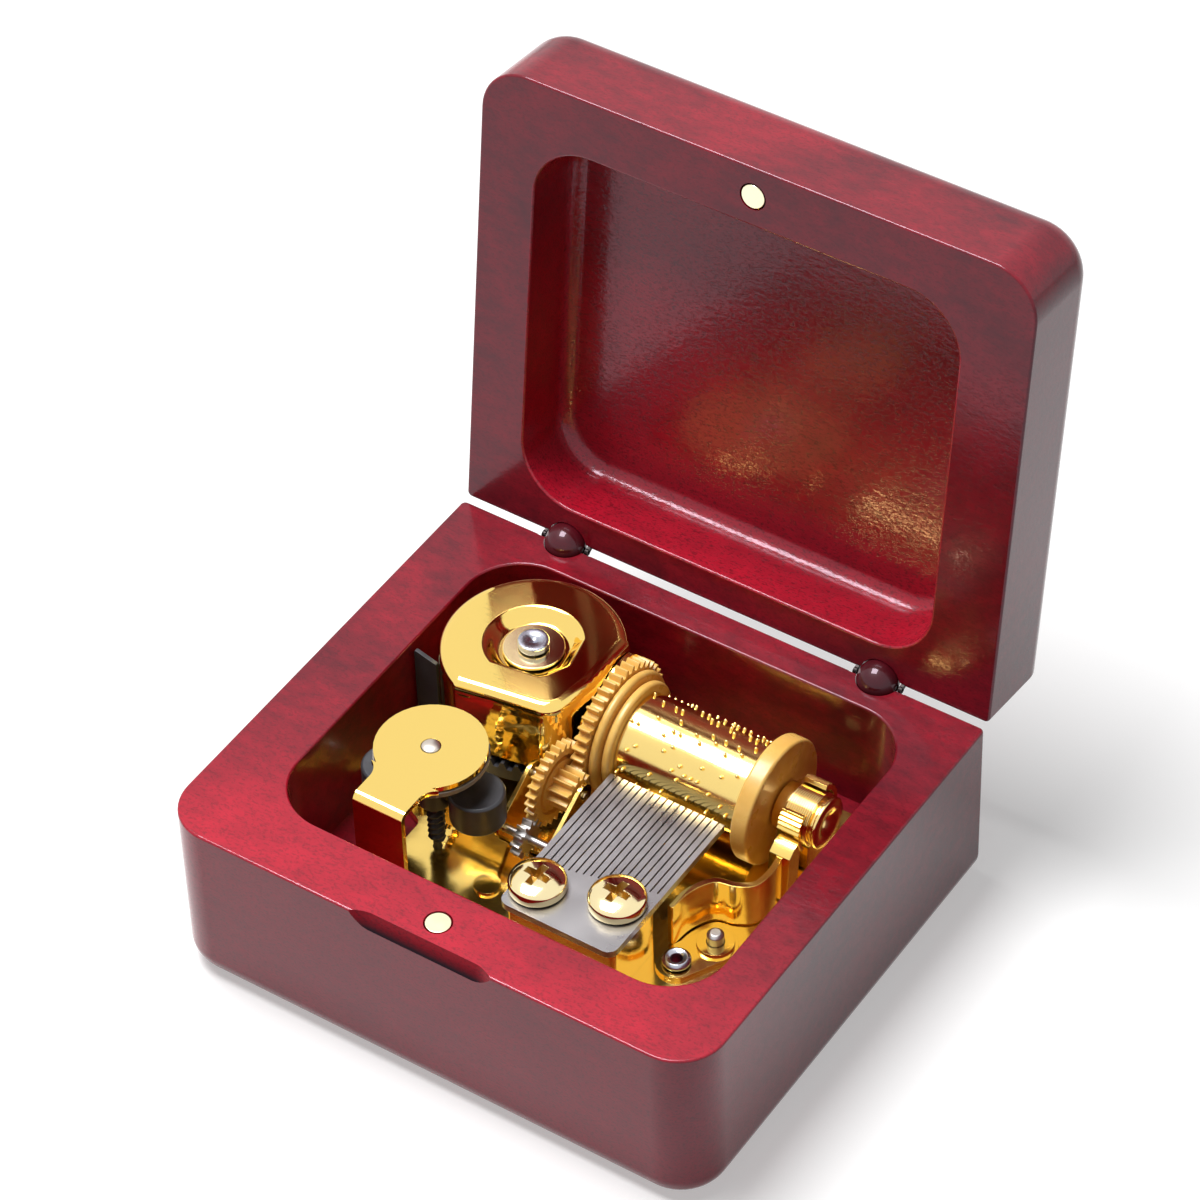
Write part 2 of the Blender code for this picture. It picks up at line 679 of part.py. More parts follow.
def make_yoke(name, x, steel):
    # Two arms with eyes round the pin, joined by a bar inside the wood behind the ball.
    inner = BALL_R + FIT
    waist = math.degrees(math.asin(YOKE_ARM / YOKE_EYE_R))
    outline = arc((0, 0), YOKE_EYE_R, 180 - waist, waist - 180, 14)
    outline += [(-YOKE_REACH, -YOKE_ARM), (-YOKE_REACH, YOKE_ARM)]
    plates = [prism(f"{name}_{x_low}", outline, x_low, x_low + YOKE_THICK, steel, "X")
              for x_low in (inner, -inner - YOKE_THICK)]
    behind, end, half = -inner - FIT, -YOKE_REACH + SLIP, YOKE_ARM - SLIP
    bar = prism("bar", [(end, -half), (behind, -half), (behind, half), (end, half)],
                -inner - YOKE_THICK / 2, inner + YOKE_THICK / 2, None, "X")
    yoke = join(plates[0], plates[1], bar)
    yoke.name = name
    return tilt_yoke(yoke, x)


def make_hinges(wood, steel):
    lid_pieces = []
    for name, x in hinge_places():
        place = (x, HINGE_Y, HINGE_Z)
        ball = lathe(f"hinge_ball_{name}", sphere_profile(BALL_R), place, wood, "X", 14)
        join(ball, slanted_rod("stem", STEM_R, BALL_R * 0.5, STEM_LENGTH, x))
        cut(ball, rod("pin_bore", HINGE_PIN_R + SLIP, -BALL_R * 2, BALL_R * 2, place, None, "X", 12))
        half = HINGE_PIN_LENGTH / 2
        rod(f"hinge_pin_{name}", HINGE_PIN_R, -half, half, place, steel, "X", 12)
        yoke = make_yoke(f"hinge_yoke_{name}", x, steel)
        cut(yoke, rod("eye_bore", HINGE_PIN_R + SLIP, -half * 2, half * 2, place, None, "X", 12))
        lid_pieces.append(yoke)
    return lid_pieces


# Spring can, drive gear and key

def can_outline(inset):
    # A circle with a tilted flat in front and a bent one at the right, their corner rounded.
    centre = Vector((SPRING_X, AXIS_Y))
    radius = CAN_R - inset
    tilt = CAN_FRONT_TILT_DEG
    front, right = CAN_FRONT_FLAT - inset, CAN_RIGHT_FLAT - inset
    half_front = math.degrees(math.acos(front / radius))
    half_right = math.degrees(math.acos(right / radius))
    start, end = half_right, 270 + tilt - half_front
    sine, cosine = math.sin(math.radians(tilt)), math.cos(math.radians(tilt))
    lean = math.radians(CAN_BEND_DEG)
    bend = Vector((right, inset * math.tan(lean / 2) - CAN_BEND_Y))
    along = Vector((-math.sin(lean), -math.cos(lean)))
    corner = bend + along * (front - sine * bend.x + cosine * bend.y) / math.cos(lean + math.radians(tilt))
    before = Vector(on_circle((0, 0), radius, end))
    corner_r = max(CAN_CORNER_R - inset, CAN_WALL / 2)
    fillet = rounded([(*before, SLIP), (*corner, corner_r), (*bend, SLIP)], 6)[7:14]
    points = arc((0, 0), radius, start, end, 24) + fillet + [bend]
    return [tuple(centre + Vector(p)) for p in points]


def make_can(gold):
    levels = [(0.0, CAN_BOTTOM)]
    for k in range(5):
        angle = math.pi / 2 * k / 4
        levels.append((CAN_EDGE_ROUND * (1 - math.cos(angle)),
                       CAN_TOP - CAN_EDGE_ROUND * (1 - math.sin(angle))))
    can = skin("spring_can", [(can_outline(inset), height) for inset, height in levels], gold)
    hollow = prism("hollow", can_outline(CAN_WALL), CAN_BOTTOM - 0.001, CAN_ROOF)
    spring = (SPRING_X, AXIS_Y, 0)
    floor, slope = CAN_TOP - DISH_DEPTH, DISH_R - DISH_FLAT_R
    above = CAN_TOP + FIT
    dish = lathe("dish",
                 [(0, floor), (DISH_FLAT_R, floor), (DISH_FLAT_R + slope * 0.3, floor + DISH_DEPTH * 0.16),
                          (DISH_R - slope * 0.35, CAN_TOP - DISH_DEPTH * 0.2),
                          (DISH_R, CAN_TOP - DISH_DEPTH * 0.02), (DISH_R, above), (0, above)], spring)
    bore = rod("bore", ARBOR_R + SLIP, CAN_BOTTOM, CAN_TOP + 0.001, spring, steps=16)
    half = ARBOR_PINION_R + CROWN_MODULE * 2
    window = [(AXIS_Y - half, CAN_BOTTOM - 0.001), (AXIS_Y + half, CAN_BOTTOM - 0.001),
              (AXIS_Y + half, CYLINDER_Z + half), (AXIS_Y - half, CYLINDER_Z + half)]
    window = prism("window", window, SPRING_X + CAN_RIGHT_FLAT - 2 * CAN_WALL, SPRING_X + CAN_R, None, "X")
    return cut(can, hollow, dish, bore, window)


def make_washer(gold):
    low = CAN_TOP - DISH_DEPTH + FIT
    profile = [(ARBOR_R + SLIP, low), (WASHER_R, low), (WASHER_R, low + WASHER_THICK * 0.6),
               (WASHER_R - 0.0003, low + WASHER_THICK), (ARBOR_R + SLIP, low + WASHER_THICK)]
    return lathe("can_washer", profile, (SPRING_X, AXIS_Y, 0), gold, steps=28)


def make_drive_gear(black):
    # A contrate gear: its teeth stand up round the rim and drive the pinion above it.
    bm = bmesh.new()
    centre = Vector((SPRING_X, AXIS_Y, 0))
    inner, outer = CROWN_R - CROWN_BAND * 0.42, CROWN_R + CROWN_BAND * 0.58
    step = 360.0 / CROWN_TEETH
    slope = math.tan(math.radians(PRESSURE_DEG))
    half = math.pi * CROWN_MODULE / 4 - BACKLASH / 2
    widths = (half + (CROWN_PITCH_Z - CROWN_ROOT) * slope, half - (CROWN_TOP - CROWN_PITCH_Z) * slope)
    angles = [math.degrees(w / CROWN_R) for w in widths]
    rings = [[], [], [], []]
    for k in range(CROWN_TEETH):
        stations = ((-angles[0], CROWN_ROOT), (-angles[1], CROWN_TOP), (angles[1], CROWN_TOP),
                    (angles[0], CROWN_ROOT))
        for angle, height in stations:
            for ring, radius, z in zip(rings, (inner, outer, outer, inner),
                                       (height, height, CROWN_BOTTOM, CROWN_BOTTOM)):
                x, y = on_circle((0, 0), radius, k * step + angle)
                ring.append(bm.verts.new(centre + Vector((x, y, z))))
    for lower, upper in zip(rings, rings[1:] + rings[:1]):
        bridge(bm, lower, upper)
    gear = new_object("drive_gear", bm, black)
    hub = ARBOR_R + SLIP
    rib = CROWN_ROOT - 0.0004
    disc = lathe("disc", [(hub, CROWN_BOTTOM - 0.0008), (hub + 0.0015, CROWN_BOTTOM - 0.0008),
                          (hub + 0.0015, CROWN_BOTTOM), (inner + 0.0005, CROWN_BOTTOM + 0.0002),
                          (inner + 0.0005, CROWN_BOTTOM + CROWN_PLATE * 0.6),
                          (hub + 0.0022, CROWN_BOTTOM + CROWN_PLATE * 0.6),
                          (hub + 0.0022, rib), (hub, rib)], (SPRING_X, AXIS_Y, 0), steps=24)
    return set_origin(join(gear, disc), (SPRING_X, AXIS_Y, 0))


def make_mainspring(steel):
    # A flat strip wound in even turns between the arbor and the can's wall.
    inner = 2 * ARBOR_R
    outer = CAN_RIGHT_FLAT - CAN_WALL - CAN_EDGE_ROUND - FIT
    steps = SPRING_TURNS * 14
    path = []
    for k in range(steps + 1):
        radius = inner + (outer - inner) * k / steps
        path.append(Vector(on_circle((SPRING_X, AXIS_Y), radius, 360.0 * SPRING_TURNS * k / steps)))
    high = CAN_ROOF - FIT
    return prism("mainspring", ribbon(path, SPRING_STRIP), high - SPRING_HEIGHT, high, steel)


def make_spring_arbor(steel):
    top = CAN_TOP - DISH_DEPTH + FIT + WASHER_THICK + FIT
    profile = [(0, KEY_LIFT + 0.0012), (ARBOR_R, KEY_LIFT + 0.0012), (ARBOR_R, top), (RIVET_R, top),
               (RIVET_R, top + RIVET_HEIGHT * 0.75), (RIVET_R - 0.0003, top + RIVET_HEIGHT),
               (RIVET_DIMPLE_R, top + RIVET_HEIGHT), (RIVET_DIMPLE_R * 0.8, top + RIVET_HEIGHT * 0.5),
               (0, top + RIVET_HEIGHT * 0.4)]
    return set_origin(lathe("spring_arbor", profile, (SPRING_X, AXIS_Y, 0), steel, steps=24),
                      (SPRING_X, AXIS_Y, 0))


def make_key(nickel):
    # A butterfly key: a boss on the arbor between two pierced wings.
    low, high = KEY_LIFT, KEY_LIFT + KEY_HEIGHT
    lobe = KEY_HEIGHT / 2
    reach = KEY_SPAN / 2 - lobe
    middle = (low + high) / 2
    outline = arc((SPRING_X + reach, middle), lobe, -90, 90, 10)
    outline += [(SPRING_X, high - 0.0008)]
    outline += arc((SPRING_X - reach, middle), lobe, 90, 270, 10)
    outline += [(SPRING_X, low + 0.0008)]
    outline = [(z, x) for x, z in outline]
    key = prism("winding_key", outline, AXIS_Y - KEY_THICK / 2, AXIS_Y + KEY_THICK / 2, nickel, "Y")
    boss = rod("boss", KEY_BOSS_R, low + 0.0004, high, (SPRING_X, AXIS_Y, 0), steps=24)
    join(key, boss)
    holes = [rod(f"hole_{side}", lobe * 0.5, -0.004, 0.004, (SPRING_X + side * reach, AXIS_Y, middle),
                 None, "Y", 16)
             for side in (-1, 1)]
    bore = rod("bore", ARBOR_R + SLIP, KEY_LIFT + 0.0011, high + 0.001, (SPRING_X, AXIS_Y, 0), steps=16)
    return set_origin(cut(key, bore, *holes), (SPRING_X, AXIS_Y, 0))


# Bedplate and its brackets

def bedplate_outline():
    left = -CASE_LENGTH / 2 + RIM_LEFT
    right = CASE_LENGTH / 2 - RIM_RIGHT
    front = -CASE_DEPTH / 2 + RIM_FRONT
    back = CASE_DEPTH / 2 - RIM_BACK
    return rounded([(WORM_X - 0.0046, front + 0.0046, 0.0010), (right - 0.0046, front + 0.0016, 0.0080),
                    (right - 0.0018, AXIS_Y - 0.0100, 0.0040), (right - 0.0018, back - 0.0036, 0.0040),
                    (left + 0.0040, back - 0.0020, 0.0080), (left + 0.0022, AXIS_Y - 0.0180, 0.0030),
                    (WORM_X - 0.0046, AXIS_Y - 0.0215, 0.0015)])


def hull_outline(circles, steps=20):
    # The convex outline round circles (x, y, radius).
    points = [p for x, y, r in circles for p in circle((x, y), r, steps)]
    points.sort()

    def half(run):
        chain = []
        for p in run:
            while len(chain) > 1 and ((chain[-1][0] - chain[-2][0]) * (p[1] - chain[-2][1])
                                      - (chain[-1][1] - chain[-2][1]) * (p[0] - chain[-2][0])) <= 0:
                chain.pop()
            chain.append(p)
        return chain[:-1]

    return half(points) + half(points[::-1])


def make_bedplate(gold):
    plate = prism("bedplate", bedplate_outline(), PLATE_BOTTOM, PLATE_TOP, gold)
    low = PLATE_TOP - 0.0004
    spring = (SPRING_X, AXIS_Y, 0)
    extra = [rod("spring_boss", ARBOR_R + 0.0016, low, CROWN_BOTTOM - 0.0008 - FIT, spring, steps=24)]
    for x, y in CASE_SCREWS:
        extra.append(rod("screw_boss", BOSS_R, low, PLATE_TOP + BOSS_HEIGHT, (x, y, 0), steps=20))
    extra.append(prism("eyelet_lug", hull_outline([(*EYELET, 0.0029), (*CASE_SCREWS[0], 0.0031)]), low,
                       PLATE_TOP + LUG_HEIGHT))
    extra.append(comb_seat(low))
    extra.append(rod("emboss", 0.0019, low, PLATE_TOP + 0.0005, (*EMBOSS, 0), steps=20))
    extra.append(bush_post(low))
    join(plate, *extra)
    cutters = [rod("spring_bore", ARBOR_R + SLIP, CASE_FLOOR - 0.001, CROWN_BOTTOM, spring, steps=16)]
    for x, y in CASE_SCREWS:
        cutters.append(rod("screw_bore", CASE_SCREW_R + SLIP, CASE_FLOOR - 0.001, PLATE_TOP + 0.003,
                           (x, y, 0), steps=16))
    for x, y in (SCREW_LEFT, SCREW_RIGHT):
        cutters.append(rod("comb_bore", SCREW_SHANK_R + SLIP, COMB_BOTTOM - SCREW_SHANK - FIT,
                           COMB_BOTTOM + 0.001,
                           (x, y, 0), steps=16))
    cutters.append(rod("bush_saddle", BUSH_R + FIT, -0.001, CLASP_WIDTH + 0.001,
                       (CLASP_X, AXIS_Y, CYLINDER_Z), None, "X", 32))
    cutters.append(rod("eyelet_bore", EYELET_R * 0.62 + SLIP, CASE_FLOOR, PLATE_TOP + 0.002, (*EYELET, 0),
                       steps=16))
    cutters.append(rod("rotor_bore", SMALL_ARBOR_R + SLIP, PLATE_TOP - 0.0007, PLATE_TOP + 0.001,
                       (WORM_X, WORM_Y, 0), steps=12))
    wheel_room = WHEEL_R + WHEEL_MODULE + RUN
    reach = math.sqrt(wheel_room**2 - (CYLINDER_Z - PLATE_TOP)**2) + RUN
    wheel_left = SPRING_X + LINE["wheel"] - RUN
    slot = box_outline(wheel_left, wheel_left + WHEEL_WIDTH + RUN * 2, AXIS_Y - reach, AXIS_Y + reach,
                       [0.0006] * 4, steps=3)
    cutters.append(prism("wheel_slot", slot, CASE_FLOOR, PLATE_TOP + 0.001))
    return cut(plate, *cutters)


def comb_seat(low):
    # The block under the comb's front, chamfered behind and hollowed in front.
    front = COMB_FRONT + 0.0012
    outline = rounded([(COMB_LEFT + 0.0004, front, 0.0008), (COMB_RIGHT - 0.0006, front, 0.0008),
                       (COMB_RIGHT - 0.0006, COMB_FRONT + COMB_ROOT_RIGHT - 0.0012, 0.0006),
                       (COMB_LEFT + 0.0004, COMB_FRONT + COMB_ROOT_LEFT - 0.0012, 0.0006)], 3)
    return prism("comb_seat", outline, low, COMB_BOTTOM - FIT)


def clasp_ridges(start, end):
    # The ridged outer face of a clasp round the bush, from one angle to another.
    points = []
    for k in range(CLASP_RIDGES * 2 + 1):
        radius = BUSH_R + FIT + CLASP_THICK + (CLASP_RIDGE if k % 2 else 0)
        points.append(on_circle((AXIS_Y, CYLINDER_Z), radius,
                                start + (end - start) * k / (CLASP_RIDGES * 2)))
    return points


def bush_post(low):
    # The post under the bush, which rises behind it as a ridged wall.
    wall = BUSH_R + FIT + CLASP_THICK
    outline = [(AXIS_Y - BUSH_R * 0.8, low), (AXIS_Y + wall, low)] + clasp_ridges(0, CLASP_BACK_DEG)
    outline += [(AXIS_Y, CYLINDER_Z), (AXIS_Y - BUSH_R * 0.6, CYLINDER_Z - BUSH_R * 0.5)]
    return prism("bush_post", outline, CLASP_X, CLASP_X + CLASP_WIDTH, None, "X")


def make_ear(gold):
    # The upright plate beside the can that carries the cylinder's left bearing.
    x = SPRING_X + LINE["ear"]
    low, high = PLATE_TOP + FIT, CAN_TOP - EAR_DROP
    front, back = AXIS_Y - EAR_FRONT, AXIS_Y + EAR_BACK
    outline = rounded([(front, low, 0.0003), (back, low, 0.0003), (back, high, 0.0030),
                       (AXIS_Y + 0.0030, high, 0.0030), (front, CYLINDER_Z + 0.0052, 0.0015)], 4)
    ear = prism("cylinder_ear", outline, x, x + EAR_THICK, gold, "X")
    bore = rod("bore", CYLINDER_ARBOR_R + SLIP, x - 0.001, x + EAR_THICK + 0.001, (0, AXIS_Y, CYLINDER_Z),
               None, "X", 16)
    gear_edge = math.sqrt((CROWN_R + CROWN_BAND * 0.58)**2 - LINE["ear"]**2) + RUN
    arch = rounded([(AXIS_Y - gear_edge, low - 0.001, 0.0002), (AXIS_Y + gear_edge, low - 0.001, 0.0002),
                    (AXIS_Y + gear_edge, CROWN_TOP + 0.0009, 0.0012),
                    (AXIS_Y - gear_edge, CROWN_TOP + 0.0009, 0.0012)], 4)
    return cut(ear, bore, prism("arch", arch, x - 0.001, x + EAR_THICK + 0.001, None, "X"))


def make_train_bracket(gold):
    # A folded strip: two legs that carry the second and third arbors, joined by a foot.
    right = SECOND_PINION_RIGHT + FIT
    left = THIRD_MIDDLE - BRACKET_LEFT
    foot_low = PLATE_TOP + FIT
    foot_high = foot_low + BRACKET_SHEET
    reach = SMALL_ARBOR_R + 0.0012
    leg = hull_outline([(SECOND_Y, SECOND_Z, reach), (THIRD_Y, THIRD_Z, reach),
                        (SECOND_Y - 0.0010, foot_low + 0.0002, 0.0002),
                        (THIRD_Y + 0.0010, foot_low + 0.0002, 0.0002)], 12)
    legs = [prism("leg", leg, x, x + BRACKET_SHEET, gold, "X") for x in (left, right)]
    foot = box_outline(left, right + BRACKET_SHEET, THIRD_Y + 0.0012, SECOND_Y - 0.0012, [0.0002] * 4,
                       steps=2)
    bracket = join(legs[0], legs[1], prism("foot", foot, foot_low, foot_high))
    bracket.name = "train_bracket"
    bores = [rod("bore", SMALL_ARBOR_R + SLIP, left - 0.001, right + 0.002, (0, y, z), None, "X", 12)
             for y, z in ((SECOND_Y, SECOND_Z), (THIRD_Y, THIRD_Z))]
    return cut(bracket, *bores)


def make_governor_bracket(gold):
    # A round head over the governor, a straight neck, and a leg bent down at the front.
    low = CAP_TOP - CAP_THICK
    head = circle((WORM_X, WORM_Y), CAP_R, 40)
    plate = prism("governor_bracket", head, low, CAP_TOP, gold)
    front = WORM_Y - CAP_REACH
    middle = WORM_X + CAP_TILT_X
    half = CAP_NECK / 2
    flare = CAP_FLARE_R
    join_y = WORM_Y - math.sqrt(CAP_R**2 - half**2)
    bend = CAP_BEND_R
    neck = [(middle - half, front + bend), (middle + half, front + bend)]
    neck += arc((middle + half + flare, join_y - flare * 0.75), flare, 180, 118, 6)
    neck += arc((middle - half - flare, join_y - flare * 0.75), flare, 62, 0, 6)
    neck = prism("neck", neck, low, CAP_TOP)
    inner = bend - CAP_THICK
    floor = PLATE_TOP + FIT
    side = [(front + bend, CAP_TOP)] + arc((front + bend, CAP_TOP - bend), bend, 90, 180, 5)
    side += [(front, floor), (front + CAP_FOOT, floor), (front + CAP_FOOT, floor + CAP_THICK),
             (front + CAP_THICK, floor + CAP_THICK)]
    side += arc((front + bend, CAP_TOP - bend), inner, 180, 90, 5)
    side += [(front + bend + 0.0006, CAP_TOP - CAP_THICK), (front + bend + 0.0006, CAP_TOP)]
    leg = prism("leg", side, middle - half, middle + half, None, "X")
    join(plate, neck, leg)
    return cut(plate,
               rod("cap_bore", CAP_PIN_R + SLIP, low - 0.001, CAP_TOP + 0.001, (WORM_X, WORM_Y, 0),
                   steps=20))


def make_brake_disc(plastic):
    low = BRAKE_TOP - BRAKE_THICK
    profile = [(CAP_PIN_R + SLIP, low), (BRAKE_R, low), (BRAKE_R, BRAKE_TOP),
               (CAP_PIN_R + SLIP, BRAKE_TOP)]
    return lathe("brake_disc", profile, (WORM_X, WORM_Y, 0), plastic, steps=36)


def make_cap_pin(jewel):
    low = BRAKE_TOP - BRAKE_THICK - FIT
    profile = [(0, low + 0.0005), (SMALL_ARBOR_R * 0.5 + SLIP, low), (CAP_PIN_R, low),
               (CAP_PIN_R, CAP_TOP + 0.00005),
               (CAP_PIN_R * 0.7, CAP_TOP + 0.00025), (0, CAP_TOP + 0.0003)]
    return lathe("governor_pivot", profile, (WORM_X, WORM_Y, 0), jewel, steps=20)


def make_eyelet(steel):
    low, high = PLATE_BOTTOM + FIT, PLATE_TOP + LUG_HEIGHT
    bore = EYELET_R * 0.62
    profile = [(bore - 0.0004, low), (bore, low), (bore, high + FIT), (EYELET_R, high + FIT),
               (EYELET_R, high + 0.0007),
               (EYELET_R - 0.0005, high + 0.0011), (bore - 0.0004, high + 0.0008)]
    return lathe("eyelet", profile, (*EYELET, 0), steel, steps=18)


def make_bush(brass):
    # The right bearing: a neck, a finely grooved body and a collar behind a groove.
    bore = CYLINDER_ARBOR_R + SLIP
    soft = 0.0002
    body, groove = BUSH_X + BUSH_NECK, BUSH_X + BUSH_NECK + BUSH_BODY
    collar, end = groove + BUSH_COLLAR / 2, groove + BUSH_COLLAR
    profile = [(bore, BUSH_X), (BUSH_NECK_R - soft, BUSH_X), (BUSH_NECK_R, BUSH_X + soft),
               (BUSH_NECK_R, body)]
    pitch = BUSH_BODY / BUSH_GROOVES
    for k in range(BUSH_GROOVES):
        profile += [(BUSH_R - BUSH_GROOVE, body + (k + 0.1) * pitch), (BUSH_R, body + (k + 0.6) * pitch)]
    profile += [(BUSH_R - BUSH_GROOVE, groove), (BUSH_NECK_R - soft, groove + soft),
                (BUSH_NECK_R - soft, collar - soft),
                (BUSH_COLLAR_R, collar), (BUSH_COLLAR_R, end - soft), (BUSH_COLLAR_R - soft, end),
                (2 * bore, end), (bore, end - bore)]
    return lathe("cylinder_bush", profile, (0, AXIS_Y, CYLINDER_Z), brass, "X", 28)


def strap_route():
    # The strap's middle line, from beside the comb to under the clasp, in shares of its straight length.
    start = Vector((COMB_RIGHT + STRAP_THICK * 0.75, COMB_FRONT + COMB_ROOT_RIGHT + STRAP_THICK / 2))
    end = Vector((CLASP_X + CLASP_WIDTH / 2, AXIS_Y - BUSH_R - STRAP_THICK * 3))
    along = end - start
    aside = Vector((along.y, -along.x))
    bends = ((0, 0), (0.21, -0.07), (0.43, -0.057), (0.546, 0.07), (0.678, 0.144), (0.85, 0.096), (1, 0))
    return [start + along * t + aside * s for t, s in bends]


def make_bush_strap(gold):
    # A thin wall that winds from the comb to a ridged clasp on the front of the bush.
    top = CYLINDER_Z - BUSH_R / 2
    base = PLATE_TOP + FIT
    strap = prism("bush_strap", ribbon(smooth_path(strap_route(), 4), STRAP_THICK), base, top, gold)
    inner = BUSH_R + FIT
    low_deg = 215
    ridged_deg = 172
    outline = arc((AXIS_Y, CYLINDER_Z), inner, low_deg, CLASP_TOP_DEG, 12)
    outline += clasp_ridges(CLASP_TOP_DEG, ridged_deg)
    outline += arc((AXIS_Y, CYLINDER_Z), inner + CLASP_THICK, ridged_deg, low_deg, 5)[1:]
    right = CLASP_X + CLASP_WIDTH
    clasp = prism("clasp", outline, CLASP_X, right, None, "X")
    heel = AXIS_Y - inner - CLASP_THICK
    bulge = [(heel - 0.0029, base), (heel - 0.0005, base), (heel + 0.0007, top),
             (heel + 0.0003, top + 0.0014),
             (heel - 0.0008, top + 0.0012), (heel - 0.0021, top + 0.0002)]
    foot = prism("foot", bulge, CLASP_X + SLIP, right - SLIP, None, "X")
    return join(strap, clasp, foot)


def make_side_shim(black):
    # A thin upright blade between the pocket's left wall and the can.
    left = -CASE_LENGTH / 2 + RIM_LEFT + FIT
    y = AXIS_Y - SHIM_FRONT
    right = SPRING_X - math.sqrt(CAN_R**2 - (SHIM_FRONT + SHIM_THICK / 2)**2) - FIT
    low, high = PLATE_TOP + FIT, CAN_TOP - SHIM_DROP
    outline = rounded([(left, low, SHIM_SOFT), (right, low, SHIM_SOFT),
                       (right, high - SHIM_SLOPE, SHIM_SOFT),
                       (left, high, SHIM_SOFT)], 2)
    outline = [(z, x) for x, z in outline]
    return prism("side_shim", outline, y - SHIM_THICK, y, black, "Y")


# Comb and its screws

def make_comb(steel):
    tip = COMB_FRONT + COMB_LENGTH
    outline = arc((COMB_LEFT + COMB_CORNER_R, COMB_FRONT + COMB_CORNER_R), COMB_CORNER_R, 180, 270, 5)
    outline += arc((COMB_RIGHT - COMB_CORNER_R, COMB_FRONT + COMB_CORNER_R), COMB_CORNER_R, 270, 360, 5)
    for k in reversed(range(TEETH)):
        right = COMB_LEFT + (k + 1) * TOOTH_PITCH - TOOTH_GAP
        left = COMB_LEFT + k * TOOTH_PITCH
        root = COMB_FRONT + COMB_ROOT_LEFT + (COMB_ROOT_RIGHT - COMB_ROOT_LEFT) * (k - 0.5) / (TEETH - 1)
        outline += [(right, tip), (left, tip)]
        if k:
            outline += [(left, root), (left - TOOTH_GAP, root)]
    comb = prism("music_comb", outline, COMB_BOTTOM, COMB_TOP, steel)
    bores = [rod("bore", SCREW_SHANK_R + FIT, COMB_BOTTOM - 0.001, COMB_TOP + 0.001, (x, y, 0), steps=16)
             for x, y in (SCREW_LEFT, SCREW_RIGHT)]
    return cut(comb, *bores)


def make_comb_screw(name, place, brass):
    low = COMB_TOP + FIT
    profile = [(0, COMB_BOTTOM - SCREW_SHANK), (SCREW_SHANK_R, COMB_BOTTOM - SCREW_SHANK),
               (SCREW_SHANK_R, low),
               (SCREW_HEAD_R, low), (SCREW_HEAD_R, low + SCREW_HEAD_HEIGHT * 0.45)]
    rise = SCREW_HEAD_HEIGHT * 0.55
    for k in range(1, 4):
        angle = math.pi / 2 * k / 3
        radius = SCREW_HEAD_R * math.cos(angle) if k < 3 else 0
        profile.append((radius, low + SCREW_HEAD_HEIGHT * 0.45 + rise * math.sin(angle)))
    screw = lathe(name, profile, (*place, 0), brass, steps=24)
    return cut(screw, *phillips((*place, low + SCREW_HEAD_HEIGHT), SCREW_HEAD_R * 0.52, 0.0015))


# Cylinder

def make_cylinder_wheel(cream):
    # Gear, two guide rings and the spigot inside the tube, moulded as one.
    x = SPRING_X
    toward_second = math.degrees(math.atan2(SECOND_Z - CYLINDER_Z, SECOND_Y - AXIS_Y))
    outline = gear_outline((AXIS_Y, CYLINDER_Z), WHEEL_TEETH, WHEEL_MODULE, toward_second)
    wheel = prism("cylinder_wheel", outline, x + LINE["wheel"], x + LINE["ring_one"], cream, "X")
    one, two, tube = x + LINE["ring_one"], x + LINE["ring_two"], x + LINE["tube"]
    soft = 0.0003
    spigot = TUBE_R - TUBE_WALL - SLIP
    profile = [(0, one - 0.0005), (RING_ONE_R - 0.0010, one - 0.0005), (RING_ONE_R - 0.0010, one + 0.0001),
               (RING_ONE_R - soft, one + 0.0001), (RING_ONE_R, one + soft),
               (RING_ONE_R, two - soft - 0.0002),
               (RING_ONE_R - soft, two - 0.0002), (RING_TWO_R - 0.0005, two - 0.0002),
               (RING_TWO_R - 0.0005, two),
               (RING_TWO_R, two + soft), (RING_TWO_R, tube - soft - SLIP),
               (RING_TWO_R - soft, tube - SLIP),
               (spigot, tube - SLIP), (spigot, tube + 0.0015), (0, tube + 0.0015)]
    join(wheel, lathe("rings", profile, (0, AXIS_Y, CYLINDER_Z), None, "X", 36))
    bore = rod("bore", CYLINDER_ARBOR_R + SLIP, one - 0.01, tube + 0.01, (0, AXIS_Y, CYLINDER_Z), None,
               "X", 16)
    return set_origin(cut(wheel, bore), (0, AXIS_Y, CYLINDER_Z))


def melody():
    # Which tooth sounds at which step: every tooth at least three times, never twice in a row.
    rng = random.Random(MELODY_SEED)
    for tooth in range(TEETH):
        notes = rng.choice((4, 5, 6))
        step = rng.randrange(4)
        for _ in range(notes):
            yield tooth, step % MELODY_STEPS
            step += 2 + rng.randrange(MELODY_STEPS // notes - 1)
            if step >= MELODY_STEPS - 1:
                break


